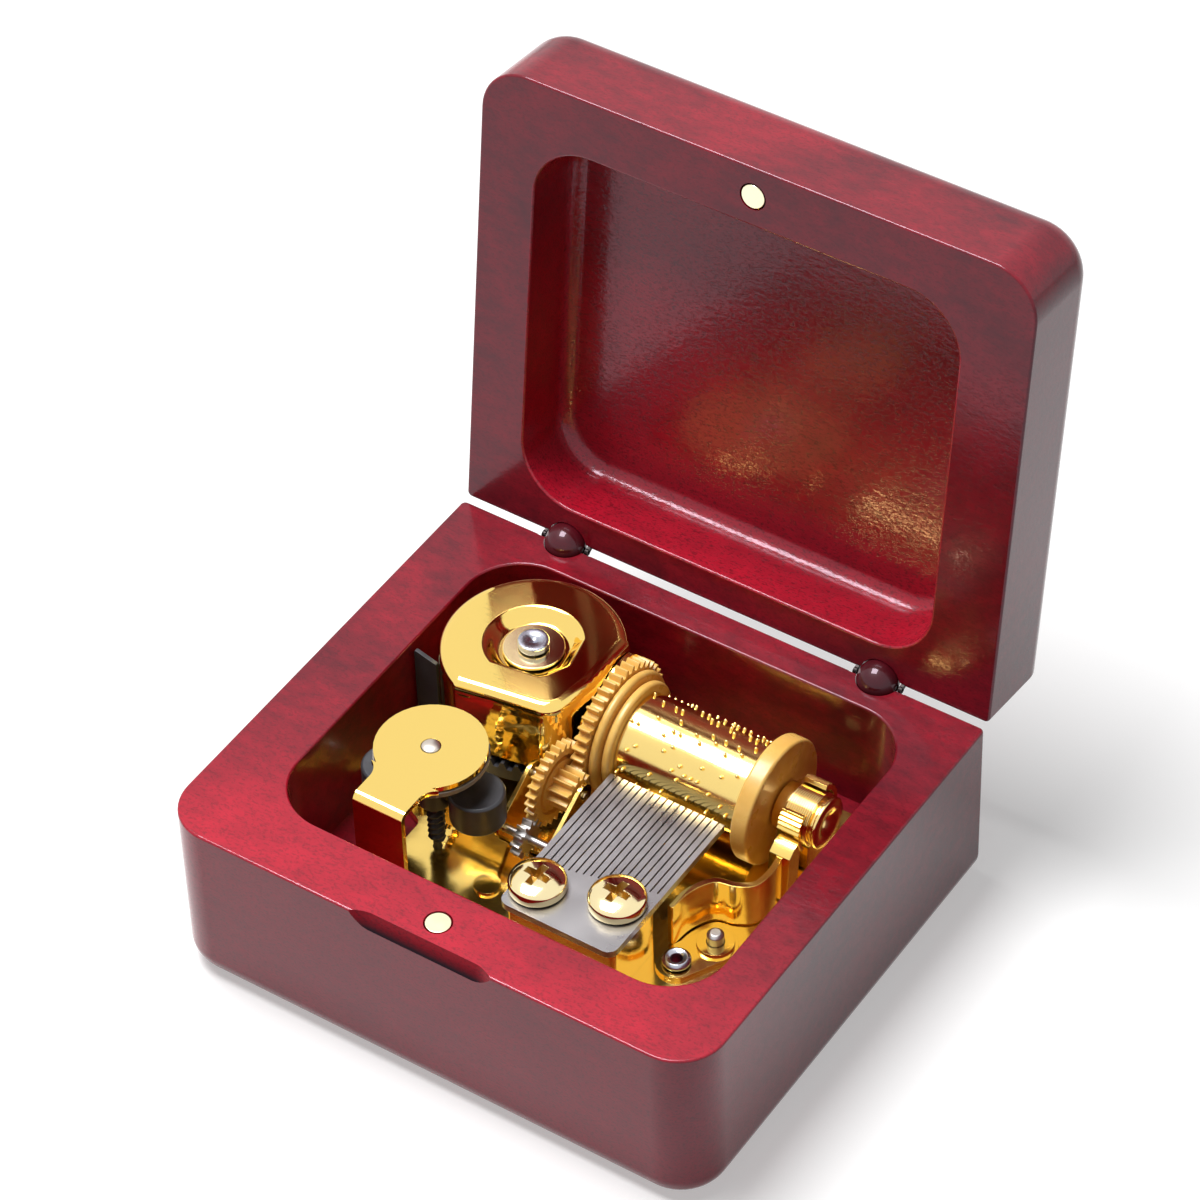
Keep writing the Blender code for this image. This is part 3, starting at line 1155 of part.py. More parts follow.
def make_pin_cylinder(gold):
    low, high = SPRING_X + LINE["tube"], SPRING_X + LINE["disc"] - SLIP
    inner = TUBE_R - TUBE_WALL
    profile = [(inner, low), (TUBE_R, low), (TUBE_R, high), (inner, high)]
    tube = lathe("pin_cylinder", profile, (0, AXIS_Y, CYLINDER_Z), gold, "X", 40)
    bm = bmesh.new()
    sides = 4
    for tooth, step in melody():
        x = COMB_LEFT + tooth * TOOTH_PITCH + (TOOTH_PITCH - TOOTH_GAP) / 2
        turn = Matrix.Rotation(2 * math.pi * step / MELODY_STEPS, 3, "X")
        rings = []
        for level, radius in ((TUBE_R - TUBE_WALL * 0.5, PIN_R), (TUBE_R + PIN_HEIGHT, PIN_R * 0.75)):
            ring = [turn @ Vector((x + u, level, v)) for u, v in circle((0, 0), radius, sides)]
            rings.append([bm.verts.new(p + Vector((0, AXIS_Y, CYLINDER_Z))) for p in ring])
        bridge(bm, *rings)
        bm.faces.new(rings[0][::-1])
        bm.faces.new(rings[1])
    pins = new_object("pins", bm)
    return set_origin(join(tube, pins), (0, AXIS_Y, CYLINDER_Z))


def make_end_disc(cream):
    low, high = SPRING_X + LINE["disc"], SPRING_X + LINE["disc"] + END_DISC_WIDTH
    soft = 0.0004
    bore = CYLINDER_ARBOR_R + SLIP
    spigot = TUBE_R - TUBE_WALL - SLIP
    profile = [(bore, low - 0.0015), (spigot, low - 0.0015), (spigot, low), (END_DISC_R - soft, low),
               (END_DISC_R, low + soft), (END_DISC_R, high - soft), (END_DISC_R - soft, high),
               (bore, high)]
    disc = lathe("cylinder_end_disc", profile, (0, AXIS_Y, CYLINDER_Z), cream, "X", 36)
    return set_origin(disc, (0, AXIS_Y, CYLINDER_Z))


def make_cylinder_arbor(steel):
    # The shaft through the cylinder, with the pinion that the drive gear turns.
    left = SPRING_X + CROWN_R - ARBOR_PINION_WIDTH / 2
    pinion = gear_outline((AXIS_Y, CYLINDER_Z), ARBOR_PINION_TEETH, CROWN_MODULE,
                          -90 + 180.0 / ARBOR_PINION_TEETH, 0.75, 1.05)
    arbor = prism("cylinder_arbor", pinion, left, left + ARBOR_PINION_WIDTH, steel, "X")
    right = SPRING_X + LINE["end"] - 0.0012
    shaft = rod("shaft", CYLINDER_ARBOR_R, left - 0.0008, right, (0, AXIS_Y, CYLINDER_Z), None, "X", 16)
    return set_origin(join(arbor, shaft), (0, AXIS_Y, CYLINDER_Z))


# Train to the governor

def make_second_wheel(cream):
    centre = (SECOND_Y, SECOND_Z)
    toward_third = math.degrees(math.atan2(THIRD_Z - SECOND_Z, THIRD_Y - SECOND_Y))
    toward_cylinder = math.degrees(math.atan2(CYLINDER_Z - SECOND_Z, AXIS_Y - SECOND_Y))
    wheel = prism("second_wheel", gear_outline(centre, SECOND_WHEEL_TEETH, SECOND_MODULE, toward_third),
                  SECOND_WHEEL_LEFT, SECOND_WHEEL_RIGHT, cream, "X")
    web = [(SECOND_PINION_R + 0.0012, SECOND_WHEEL_RIGHT - 0.0005),
           (SECOND_WHEEL_R - 0.0015, SECOND_WHEEL_RIGHT - 0.0005),
           (SECOND_WHEEL_R - 0.0012, SECOND_WHEEL_RIGHT + 0.0005),
           (SECOND_PINION_R + 0.0012, SECOND_WHEEL_RIGHT + 0.0005)]
    cut(wheel, lathe("web", web, (0, *centre), None, "X", 20))
    phase = toward_cylinder + 180.0 / SECOND_PINION_TEETH
    pinion = prism("pinion", gear_outline(centre, SECOND_PINION_TEETH, WHEEL_MODULE, phase),
                   SECOND_WHEEL_RIGHT - 0.0003, SECOND_PINION_RIGHT)
    pinion.data.transform(AXES["X"].to_4x4())
    join(wheel, pinion)
    bore = rod("bore", SMALL_ARBOR_R + SLIP, SECOND_WHEEL_LEFT - 0.001, SECOND_PINION_RIGHT + 0.001,
               (0, *centre), None, "X", 12)
    return set_origin(cut(wheel, bore), (0, *centre))


def make_second_arbor(steel):
    left = THIRD_MIDDLE - BRACKET_LEFT - FIT
    right = SECOND_PINION_RIGHT + FIT + BRACKET_SHEET + FIT
    return set_origin(rod("second_arbor", SMALL_ARBOR_R, left, right, (0, SECOND_Y, SECOND_Z), steel, "X",
                          12),
                      (0, SECOND_Y, SECOND_Z))


def make_third_arbor(steel):
    centre = (THIRD_Y, THIRD_Z)
    toward_second = math.degrees(math.atan2(SECOND_Z - THIRD_Z, SECOND_Y - THIRD_Y))
    pinion = gear_outline(centre, THIRD_PINION_TEETH, SECOND_MODULE,
                          toward_second + 180.0 / THIRD_PINION_TEETH)
    arbor = prism("third_arbor", pinion, SECOND_WHEEL_LEFT, SECOND_WHEEL_RIGHT, steel, "X")
    right = SECOND_PINION_RIGHT + FIT + BRACKET_SHEET + FIT
    shaft = rod("shaft", SMALL_ARBOR_R, WORM_X - WORM_WHEEL_WIDTH / 2 - 0.0008, right, (0, *centre), None,
                "X", 12)
    return set_origin(join(arbor, shaft), (0, *centre))


def make_worm_wheel(brass):
    # Its teeth are twisted to lie along the worm's thread.
    centre = Vector((THIRD_Y, THIRD_Z))
    half = WORM_WHEEL_WIDTH / 2
    lead = WORM_PITCH / (2 * math.pi * WORM_PITCH_R)
    twist = math.degrees(half * lead / WORM_WHEEL_R)
    layers = []
    for side in (-1, 1):
        outline = gear_outline(tuple(centre), WORM_WHEEL_TEETH, WORM_WHEEL_MODULE, 180 + side * twist, 0.8,
                               1.2, 0.00024)
        layers.append((outline, WORM_X + side * half))
    wheel = skin("worm_wheel", layers, brass, "X")
    bore = rod("bore", SMALL_ARBOR_R + SLIP, WORM_X - 0.002, WORM_X + 0.002, (0, *centre), None, "X", 12)
    return set_origin(cut(wheel, bore), (0, *centre))


def worm_thread(turns, steps=8):
    # A right-handed ridge of four sides swept up the shaft; a gap faces the worm wheel's tooth.
    bm = bmesh.new()
    low = THIRD_Z - WORM_PITCH * turns / 2
    root, crest = WORM_PITCH * 0.30, WORM_PITCH * 0.11
    start = 90.0 + 180.0
    rings = []
    for k in range(turns * steps + 1):
        height = low + WORM_PITCH * k / steps
        angle = start + 360.0 * k / steps - 180.0 * turns
        fade = min(1.0, k / 3, (turns * steps - k) / 3)
        crest_r = WORM_CORE_R + (WORM_R - WORM_CORE_R) * max(fade, 0.1)
        ring = []
        for radius, rise in ((WORM_CORE_R - 0.0001, -root), (crest_r, -crest), (crest_r, crest),
                             (WORM_CORE_R - 0.0001, root)):
            x, y = on_circle((WORM_X, WORM_Y), radius, angle)
            ring.append(bm.verts.new((x, y, height + rise)))
        rings.append(ring)
    for lower, upper in zip(rings, rings[1:]):
        bridge(bm, lower, upper)
    bm.faces.new(rings[0][::-1])
    bm.faces.new(rings[-1])
    return new_object("thread", bm)


def weight_places():
    for side, name in ((0, "right"), (180, "left")):
        degrees = side + WEIGHT_TURN_DEG
        yield name, on_circle((WORM_X, WORM_Y), WEIGHT_OFFSET, degrees), degrees


def arm_box(name, degrees, grow):
    # The flat arm from the rotor's hub into a weight.
    reach = WEIGHT_OFFSET - WEIGHT_R * 0.3 + grow
    half = 0.0008 + grow
    low, high = WEIGHT_BOTTOM + WEIGHT_HEIGHT * 0.40 - grow, WEIGHT_BOTTOM + WEIGHT_HEIGHT * 0.75 + grow
    arm = prism(name, [(0.0005, -half), (reach, -half), (reach, half), (0.0005, half)], low, high)
    turn = Matrix.Rotation(math.radians(degrees), 4, "Z")
    arm.data.transform(Matrix.Translation((WORM_X, WORM_Y, 0)) @ turn)
    return arm


def make_rotor(black):
    top = BRAKE_TOP - BRAKE_THICK
    pivot = SMALL_ARBOR_R
    hub = ROTOR_HUB_R
    profile = [(0, PLATE_TOP - 0.0004), (pivot, PLATE_TOP - 0.0004), (pivot, PLATE_TOP + 0.0003),
               (WORM_CORE_R, PLATE_TOP + 0.0005), (WORM_CORE_R, WEIGHT_BOTTOM + 0.0004),
               (hub, WEIGHT_BOTTOM + 0.0006),
               (hub, WEIGHT_TOP + 0.0010), (ROTOR_NECK_R, WEIGHT_TOP + 0.0016),
               (ROTOR_NECK_R, top - 0.0006),
               (pivot, top - 0.0005), (0, top - 2 * FIT)]
    rotor = lathe("governor_rotor", profile, (WORM_X, WORM_Y, 0), black, steps=16)
    arms = [arm_box(f"arm_{name}", degrees, 0.0) for name, _, degrees in weight_places()]
    return set_origin(join(rotor, worm_thread(WORM_TURNS), *arms), (WORM_X, WORM_Y, 0))


def make_weights(black):
    for name, (x, y), degrees in weight_places():
        soft = 0.0003
        profile = [(0, WEIGHT_BOTTOM), (WEIGHT_R - soft, WEIGHT_BOTTOM), (WEIGHT_R, WEIGHT_BOTTOM + soft),
                   (WEIGHT_R, WEIGHT_TOP - soft), (WEIGHT_R - soft, WEIGHT_TOP), (0, WEIGHT_TOP)]
        weight = lathe(f"governor_weight_{name}", profile, (x, y, 0), black, steps=28)
        set_origin(cut(weight, arm_box("slot", degrees, SLIP)), (WORM_X, WORM_Y, 0))


def build():
    for obj in list(bpy.data.objects):
        bpy.data.objects.remove(obj)
    wood = look("burgundy_lacquered_wood", (0.20, 0.012, 0.028), 0.28)
    gold = look("polished_gold", (0.90, 0.62, 0.20), 0.16, 1.0)
    cream = look("cream_plastic", (0.78, 0.50, 0.18), 0.42)
    black = look("black_plastic", (0.025, 0.025, 0.03), 0.45)
    steel = look("brushed_steel", (0.52, 0.50, 0.51), 0.34, 1.0)
    brass = look("pale_brass", (0.86, 0.70, 0.40), 0.20, 1.0)
    dark = look("dark_steel", (0.06, 0.05, 0.05), 0.35, 1.0)
    clear = look("smoked_plastic", (0.42, 0.39, 0.36), 0.30, 0.0, 0.6)
    jewel = look("pink_pivot", (0.70, 0.55, 0.52), 0.25)
    magnet = look("magnet_plate", (0.86, 0.80, 0.62), 0.30, 1.0)

    make_case(wood)
    make_magnet("case_magnet", CASE_HEIGHT - MAGNET_THICK, magnet)
    make_case_screws(steel)
    lid = make_lid(wood)
    lid_magnet = make_magnet("lid_magnet", LID_BOTTOM, magnet)
    swing_open(lid, lid_magnet, *make_hinges(wood, dark))

    make_can(gold)
    make_washer(brass)
    make_drive_gear(black)
    make_mainspring(steel)
    make_spring_arbor(steel)
    make_key(steel)

    make_bedplate(gold)
    make_ear(gold)
    make_train_bracket(gold)
    make_governor_bracket(gold)
    make_brake_disc(clear)
    make_cap_pin(jewel)
    make_eyelet(steel)
    make_bush(brass)
    make_bush_strap(gold)
    make_side_shim(black)

    make_comb(steel)
    make_comb_screw("comb_screw_left", SCREW_LEFT, brass)
    make_comb_screw("comb_screw_right", SCREW_RIGHT, brass)

    make_cylinder_wheel(cream)
    make_pin_cylinder(gold)
    make_end_disc(cream)
    make_cylinder_arbor(steel)
    make_second_wheel(cream)
    make_second_arbor(steel)
    make_third_arbor(steel)
    make_worm_wheel(brass)
    make_rotor(black)
    make_weights(black)
    for obj in bpy.context.scene.collection.objects:
        obj.data.shade_smooth()
        obj.data.set_sharp_from_angle(angle=math.radians(35))


build()
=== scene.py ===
import json
import math

import bmesh
import bpy
from mathutils import Matrix, Vector


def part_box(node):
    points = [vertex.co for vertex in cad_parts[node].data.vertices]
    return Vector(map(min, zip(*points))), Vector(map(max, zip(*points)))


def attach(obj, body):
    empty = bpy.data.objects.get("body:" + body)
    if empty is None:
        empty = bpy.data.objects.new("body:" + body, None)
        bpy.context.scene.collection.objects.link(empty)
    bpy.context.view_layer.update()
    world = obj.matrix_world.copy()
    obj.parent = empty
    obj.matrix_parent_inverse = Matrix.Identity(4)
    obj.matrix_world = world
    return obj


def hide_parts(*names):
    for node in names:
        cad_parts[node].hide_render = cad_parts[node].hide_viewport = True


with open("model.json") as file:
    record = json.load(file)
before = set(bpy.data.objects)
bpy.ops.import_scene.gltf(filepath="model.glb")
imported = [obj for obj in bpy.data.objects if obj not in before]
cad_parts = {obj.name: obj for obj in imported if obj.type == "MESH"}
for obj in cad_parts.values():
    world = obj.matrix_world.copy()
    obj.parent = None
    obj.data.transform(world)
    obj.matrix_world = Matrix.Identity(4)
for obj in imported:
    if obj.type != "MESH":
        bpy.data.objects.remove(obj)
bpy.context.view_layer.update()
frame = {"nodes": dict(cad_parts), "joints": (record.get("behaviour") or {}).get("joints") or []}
nodes = frame["nodes"]
joints = {joint["name"]: joint for joint in frame["joints"]}
mm = 0.001
beyond = 1.0 * mm  # how far a cutter reaches out of the piece that it cuts
tightest = 0.1 * mm  # the smallest corner that an inset outline keeps
print("frame loaded:", len(nodes), "nodes")


# Small mesh helpers: outlines, lofts, turned shapes and cuts

def onCircle(centre, radius, degrees):
    angle = math.radians(degrees)
    return Vector((centre[0] + radius * math.cos(angle), centre[1] + radius * math.sin(angle)))


def arcPoints(centre, radius, start, end, steps):
    return [onCircle(centre, radius, start + (end - start) * i / steps) for i in range(steps + 1)]


def quarterTurn(steps):
    return [math.pi / 2 * k / steps for k in range(steps + 1)]


def roundedLoop(corners, steps):
    # corners are (x, y, radius); each one becomes an arc with the same number of steps
    points = []
    for i, (x, y, radius) in enumerate(corners):
        here = Vector((x, y))
        back = (Vector(corners[i - 1][:2]) - here).normalized()
        ahead = (Vector(corners[(i + 1) % len(corners)][:2]) - here).normalized()
        half = back.angle(ahead) / 2
        middle = here + (back + ahead).normalized() * radius / math.sin(half)
        first = here + back * radius / math.tan(half) - middle
        last = here + ahead * radius / math.tan(half) - middle
        turn = first.angle_signed(last)
        for k in range(steps + 1):
            spoke = first.copy()
            spoke.rotate(Matrix.Rotation(-turn * k / steps, 2))
            points.append(middle + spoke)
    return points


def boxLoop(left, right, front, back, radii, inset, steps):
    left, right, front, back = left + inset, right - inset, front + inset, back - inset
    spots = ((left, front), (right, front), (right, back), (left, back))
    return roundedLoop([(x, y, max(r - inset, tightest)) for (x, y), r in zip(spots, radii)], steps)


turnTo = {"X": Matrix(((0, 0, 1), (1, 0, 0), (0, 1, 0))),
          "Y": Matrix(((0, 1, 0), (0, 0, 1), (1, 0, 0))),
          "Z": Matrix.Identity(3)}


def meshObject(name, bm):
    bmesh.ops.recalc_face_normals(bm, faces=bm.faces)
    mesh = bpy.data.meshes.new(name)
    bm.to_mesh(mesh)
    bm.free()
    obj = bpy.data.objects.new(name, mesh)
    bpy.context.scene.collection.objects.link(obj)
    return obj


def loft(name, layers, closed=False):
    # layers are (outline, height), every outline with the same count
    bm = bmesh.new()
    rings = [[bm.verts.new((p[0], p[1], height)) for p in outline] for outline, height in layers]
    for lower, upper in zip(rings, rings[1:] + rings[:1] if closed else rings[1:]):
        for i in range(len(lower)):
            j = (i + 1) % len(lower)
            bm.faces.new((lower[i], lower[j], upper[j], upper[i]))
    if not closed:
        bm.faces.new(rings[0][::-1])
        bm.faces.new(rings[-1])
    return meshObject(name, bm)


def turned(name, profile, centre, axis="Z", steps=96):
    # (radius, height) points, turned about the axis and closed through their ends
    bm = bmesh.new()
    turn = turnTo[axis]
    rings = []
    for radius, height in profile:
        ring = [Vector((0, 0))] if radius == 0 else arcPoints((0, 0), radius, 0, 360 - 360 / steps, steps - 1)
        rings.append([bm.verts.new(turn @ Vector((p[0], p[1], height))) for p in ring])
    pairs = list(zip(rings, rings[1:]))
    if len(rings[0]) > 1 and len(rings[-1]) > 1:
        pairs.append((rings[-1], rings[0]))
    for lower, upper in pairs:
        for i in range(steps):
            j = (i + 1) % steps
            corners = []
            for ring, k in ((lower, i), (lower, j), (upper, j), (upper, i)):
                vert = ring[k % len(ring)]
                if vert not in corners:
                    corners.append(vert)
            bm.faces.new(corners)
    obj = meshObject(name, bm)
    obj.data.transform(Matrix.Translation(Vector(centre)))
    return obj


def hullOf(name, points):
    bm = bmesh.new()
    for point in points:
        bm.verts.new(point)
    result = bmesh.ops.convex_hull(bm, input=bm.verts)
    spare = [g for g in result["geom_interior"] + result["geom_unused"] if isinstance(g, bmesh.types.BMVert)]
    bmesh.ops.delete(bm, geom=spare, context="VERTS")
    return meshObject(name, bm)


def bakeModifiers(obj):
    graph = bpy.context.evaluated_depsgraph_get()
    mesh = bpy.data.meshes.new_from_object(obj.evaluated_get(graph))
    obj.modifiers.clear()
    obj.data = mesh
    return obj


def boolean(target, tools, operation="DIFFERENCE"):
    for tool in tools:
        step = target.modifiers.new(tool.name, "BOOLEAN")
        step.operation = operation
        step.object = tool
        step.solver = "EXACT"
        step.material_mode = "TRANSFER"
    bakeModifiers(target)
    for tool in tools:
        bpy.data.objects.remove(tool)
    return target


def shadeSmooth(obj, angle=50):
    # smooth over gentle edges, sharp over the others
    obj.data.shade_smooth()
    obj.data.set_sharp_from_angle(angle=math.radians(angle))


def shadeByFaces(obj, angle=40):
    # the same, with the big flats kept flat
    shadeSmooth(obj, angle)
    step = obj.modifiers.new("flats", "WEIGHTED_NORMAL")
    step.mode = "FACE_AREA"
    step.weight = 100
    step.keep_sharp = True
    return bakeModifiers(obj)


def joinFlats(obj):
    bm = bmesh.new()
    bm.from_mesh(obj.data)
    bmesh.ops.remove_doubles(bm, verts=bm.verts, dist=1e-6)
    bmesh.ops.dissolve_limit(bm, angle_limit=math.radians(0.5), verts=bm.verts, edges=bm.edges)
    bm.to_mesh(obj.data)
    bm.free()


def softenEdges(obj, width, angle=32):
    # joins flat faces and rounds the sharp edges
    joinFlats(obj)
    if width:
        step = obj.modifiers.new("soften", "BEVEL")
        step.width = width
        step.segments = 2
        step.limit_method = "ANGLE"
        step.angle_limit = math.radians(angle)
        step.use_clamp_overlap = True
        step.material = 0
        bakeModifiers(obj)
    return shadeByFaces(obj, angle + 10)


def paint(obj, material):
    obj.data.materials.clear()
    obj.data.materials.append(material)
    return obj


def dress(obj, material, body, *stoodFor):
    if material:
        paint(obj, material)
    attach(obj, body)
    if stoodFor:
        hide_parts(*stoodFor)
    return obj


def fineCopy(node, pieceName, material, body, width):
    # a copy of a CAD node with its edges softened, for pieces whose shape is right already
    obj = bpy.data.objects.new(pieceName, nodes[node].data.copy())
    bpy.context.scene.collection.objects.link(obj)
    softenEdges(obj, width)
    return dress(obj, material, body, node)


# Shader groups, each built once and used by several materials

def newGroup(name, inputs, outputs):
    group = bpy.data.node_groups.new(name, "ShaderNodeTree")
    for label, kind, value in inputs:
        socket = group.interface.new_socket(name=label, in_out="INPUT", socket_type=kind)
        socket.default_value = value
    for label in outputs:
        group.interface.new_socket(name=label, in_out="OUTPUT", socket_type="NodeSocketFloat")
    entry = group.nodes.new("NodeGroupInput")
    leave = group.nodes.new("NodeGroupOutput")
    return group, entry, leave


def addNode(tree, kind, settings=None, **values):
    node = tree.nodes.new(kind)
    for key, value in (settings or {}).items():
        setattr(node, key, value)
    for key, value in values.items():
        node.inputs[key.replace("_", " ")].default_value = value
    return node


def ramp(tree, source, stops):
    # (from low, from high), (to low, to high)
    node = tree.nodes.new("ShaderNodeMapRange")
    node.inputs["From Min"].default_value, node.inputs["From Max"].default_value = stops[0]
    node.inputs["To Min"].default_value, node.inputs["To Max"].default_value = stops[1]
    tree.links.new(source, node.inputs["Value"])
    return node.outputs["Result"]


def calculate(tree, operation, first, second=0.0):
    node = tree.nodes.new("ShaderNodeMath")
    node.operation = operation
    for socket, value in zip(node.inputs, (first, second)):
        if isinstance(value, (int, float)):
            socket.default_value = value
        else:
            tree.links.new(value, socket)
    return node.outputs["Value"]


def blendColours(tree, factor, first, second):
    node = tree.nodes.new("ShaderNodeMix")
    node.data_type = "RGBA"
    tree.links.new(factor, node.inputs["Factor"])
    colours = [socket for socket in node.inputs if socket.type == "RGBA"]
    for socket, value in zip(colours, (first, second)):
        if isinstance(value, tuple):
            socket.default_value = (*value, 1.0)
        else:
            tree.links.new(value, socket)
    return [socket for socket in node.outputs if socket.type == "RGBA"][0]


def vectorStep(tree, operation, *sources):
    node = addNode(tree, "ShaderNodeVectorMath", {"operation": operation})
    for socket, source in zip(node.inputs, sources):
        tree.links.new(source, socket)
    return node.outputs["Value" if operation in ("DOT_PRODUCT", "LENGTH") else "Vector"]


def objectPlace(tree, stretch=None):
    place = tree.nodes.new("ShaderNodeTexCoord").outputs["Object"]
    return place if stretch is None else vectorStep(tree, "MULTIPLY", place, stretch)


def noise(tree, where, scale, detail, roughness=0.5, edges=None):
    # with edges the noise is spread from 0 at the first to 1 at the second
    node = addNode(tree, "ShaderNodeTexNoise", Detail=detail, Roughness=roughness)
    tree.links.new(where, node.inputs["Vector"])
    if isinstance(scale, (int, float)):
        node.inputs["Scale"].default_value = scale
    else:
        tree.links.new(scale, node.inputs["Scale"])
    return ramp(tree, node.outputs["Fac"], (edges, (0.0, 1.0))) if edges else node.outputs["Fac"]


grain = {
    "stretch": (1700.0, 3300.0, 3300.0), "poreEdges": (0.50, 0.64), "streakScale": 0.16,
    "streakEdges": (0.34, 0.68), "cloudScale": 60.0, "cloudEdges": (0.3, 0.7), "rippleScale": 0.42,
    # painted light: over the y span given by the last two entries the tone is painted paler toward the front
    "poreDip": 0.25, "paintedLightFrom": -8.0 * mm, "paintedLightTo": -34.0 * mm,
}


def makeGrainGroup():
    # short dark pores, soft streaks, slow clouds and the ripple of a lacquer that sank into the grain;
    # the last output is painted light: it grows toward the front, where the tone is painted paler
    group, entry, leave = newGroup(
        "lacqueredGrain",
        [("Stretch", "NodeSocketVector", grain["stretch"]),
         ("Cloud Scale", "NodeSocketFloat", grain["cloudScale"])],
        ["Pores", "Streaks", "Clouds", "Ripple", "PaintedFrontLight"])
    where = objectPlace(group, entry.outputs["Stretch"])
    pores = noise(group, where, 1.0, 3.0, 0.65, grain["poreEdges"])
    group.links.new(pores, leave.inputs["Pores"])
    streaks = noise(group, where, grain["streakScale"], 4.0, 0.6, grain["streakEdges"])
    group.links.new(streaks, leave.inputs["Streaks"])
    clouds = noise(group, objectPlace(group), entry.outputs["Cloud Scale"], 2.0, 0.5, grain["cloudEdges"])
    group.links.new(clouds, leave.inputs["Clouds"])
    ripple = noise(group, where, grain["rippleScale"], 2.0)
    dips = calculate(group, "MULTIPLY", pores, grain["poreDip"])
    group.links.new(calculate(group, "SUBTRACT", ripple, dips), leave.inputs["Ripple"])
    # painted light: a ramp along y that makes the lacquer paler toward the front
    axes = group.nodes.new("ShaderNodeSeparateXYZ")
    group.links.new(objectPlace(group), axes.inputs["Vector"])
    paintedfrontlight = ramp(group, axes.outputs["Y"], ((grain["paintedLightFrom"], grain["paintedLightTo"]), (0.0, 1.0)))
    group.links.new(paintedfrontlight, leave.inputs["PaintedFrontLight"])
    return group


wear = {
    "patchScale": 120.0, "patchEdges": (0.35, 0.65), "scratchStretch": (300.0, 6000.0, 3000.0),
    "scratchEdges": (0.60, 0.78), "speckScale": 2600.0, "speckEdges": (0.70, 0.78),
}


def makeWearGroup():
    # uneven shine with fine hair scratches and a few specks
    group, entry, leave = newGroup(
        "handledShine",
        [("Low", "NodeSocketFloat", 0.1), ("High", "NodeSocketFloat", 0.25),
         ("Patch Scale", "NodeSocketFloat", wear["patchScale"]),
         ("Scratch Stretch", "NodeSocketVector", wear["scratchStretch"])],
        ["Roughness", "Scratches", "Specks"])
    patches = noise(group, objectPlace(group), entry.outputs["Patch Scale"], 4.0, 0.6, wear["patchEdges"])
    reach = calculate(group, "SUBTRACT", entry.outputs["High"], entry.outputs["Low"])
    above = calculate(group, "MULTIPLY", patches, reach)
    group.links.new(calculate(group, "ADD", above, entry.outputs["Low"]), leave.inputs["Roughness"])
    stretched = objectPlace(group, entry.outputs["Scratch Stretch"])
    hair = noise(group, stretched, 1.0, 2.0, edges=wear["scratchEdges"])
    group.links.new(hair, leave.inputs["Scratches"])
    specks = noise(group, objectPlace(group), wear["speckScale"], 1.0, edges=wear["speckEdges"])
    group.links.new(specks, leave.inputs["Specks"])
    return group


def makeRingGroup():
    # tool marks round an axis, for turned and faced metal
    group, entry, leave = newGroup(
        "turnedMarks",
        [("Centre", "NodeSocketVector", (0.0, 0.0, 0.0)), ("Along", "NodeSocketVector", (0.0, 0.0, 1.0)),
         ("Pitch Scale", "NodeSocketFloat", 5000.0)],
        ["Marks"])
    offset = vectorStep(group, "SUBTRACT", objectPlace(group), entry.outputs["Centre"])
    height = vectorStep(group, "DOT_PRODUCT", offset, entry.outputs["Along"])
    radius = vectorStep(group, "LENGTH", vectorStep(group, "CROSS_PRODUCT", offset, entry.outputs["Along"]))
    both = 0.0
    for distance in (radius, height):
        marks = addNode(group, "ShaderNodeTexNoise", {"noise_dimensions": "1D"}, Detail=2.0, Roughness=0.7)
        pitches = calculate(group, "MULTIPLY", distance, entry.outputs["Pitch Scale"])
        group.links.new(pitches, marks.inputs["W"])
        both = calculate(group, "ADD", marks.outputs["Fac"], both)
    group.links.new(both, leave.inputs["Marks"])
    return group


grainGroup = makeGrainGroup()
wearGroup = makeWearGroup()
ringGroup = makeRingGroup()


def startMaterial(name, colour, **sockets):
    material = bpy.data.materials.new(name)
    material.use_nodes = True
    tree = material.node_tree
    shader = tree.nodes["Principled BSDF"]
    shader.inputs["Base Color"].default_value = (*colour, 1.0)
    for label, value in sockets.items():
        shader.inputs[label.replace("_", " ")].default_value = value
    return material, tree, shader


def useGroup(tree, group, **values):
    node = tree.nodes.new("ShaderNodeGroup")
    node.node_tree = group
    for label, value in values.items():
        node.inputs[label.replace("_", " ")].default_value = value
    return node


def addBump(tree, shader, height, distance, before=None):
    bump = addNode(tree, "ShaderNodeBump", Strength=1.0, Distance=distance)
    tree.links.new(height, bump.inputs["Height"])
    if before is not None:
        tree.links.new(before.outputs["Normal"], bump.inputs["Normal"])
    tree.links.new(bump.outputs["Normal"], shader.inputs["Normal"])
    return bump


# Burgundy lacquer over fine-grained wood

lacquer = {
    "deep": (0.08, 0.0010, 0.006), "warm": (0.56, 0.0065, 0.028), "pore": (0.05, 0.0008, 0.004),
    # the third share on the next line is painted light, a paler tone toward the front
    "streaks": 0.20, "clouds": 0.24, "paintedfrontlight": 0.46, "base": 0.02, "poreShare": 0.42, "ripple": 0.000012,
    "gloss": 0.36, "glossTint": (1.0, 0.82, 0.97, 1.0), "roughness": (0.08, 0.11), "haze": 0.30,
    "hazeRoughness": 0.42,
}
# painted light: the lid's recess gets a paler base tone that stands in for the light on its up-facing wall
insideLidPaintedLight = dict(lacquer, base=0.36, poreShare=0.62, gloss=0.42, ripple=0.000030)
glossyBall = dict(lacquer, deep=(0.04, 0.0010, 0.004), warm=(0.12, 0.0025, 0.009), roughness=(0.03, 0.05),
                  ripple=0.0000015)
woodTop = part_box("case")[1].z
# painted shade: the finger scoop is painted darker than the case, and near-black toward its floor by height
scoopPaintedShade = dict(lacquer, deep=(0.22, 0.0010, 0.008), warm=(0.40, 0.0025, 0.014),
                  pore=(0.008, 0.0003, 0.003), gloss=0.16, roughness=(0.22, 0.28), haze=0.05,
                  paintedShadeBetween=(woodTop - 2.0 * mm, woodTop - 0.5 * mm))


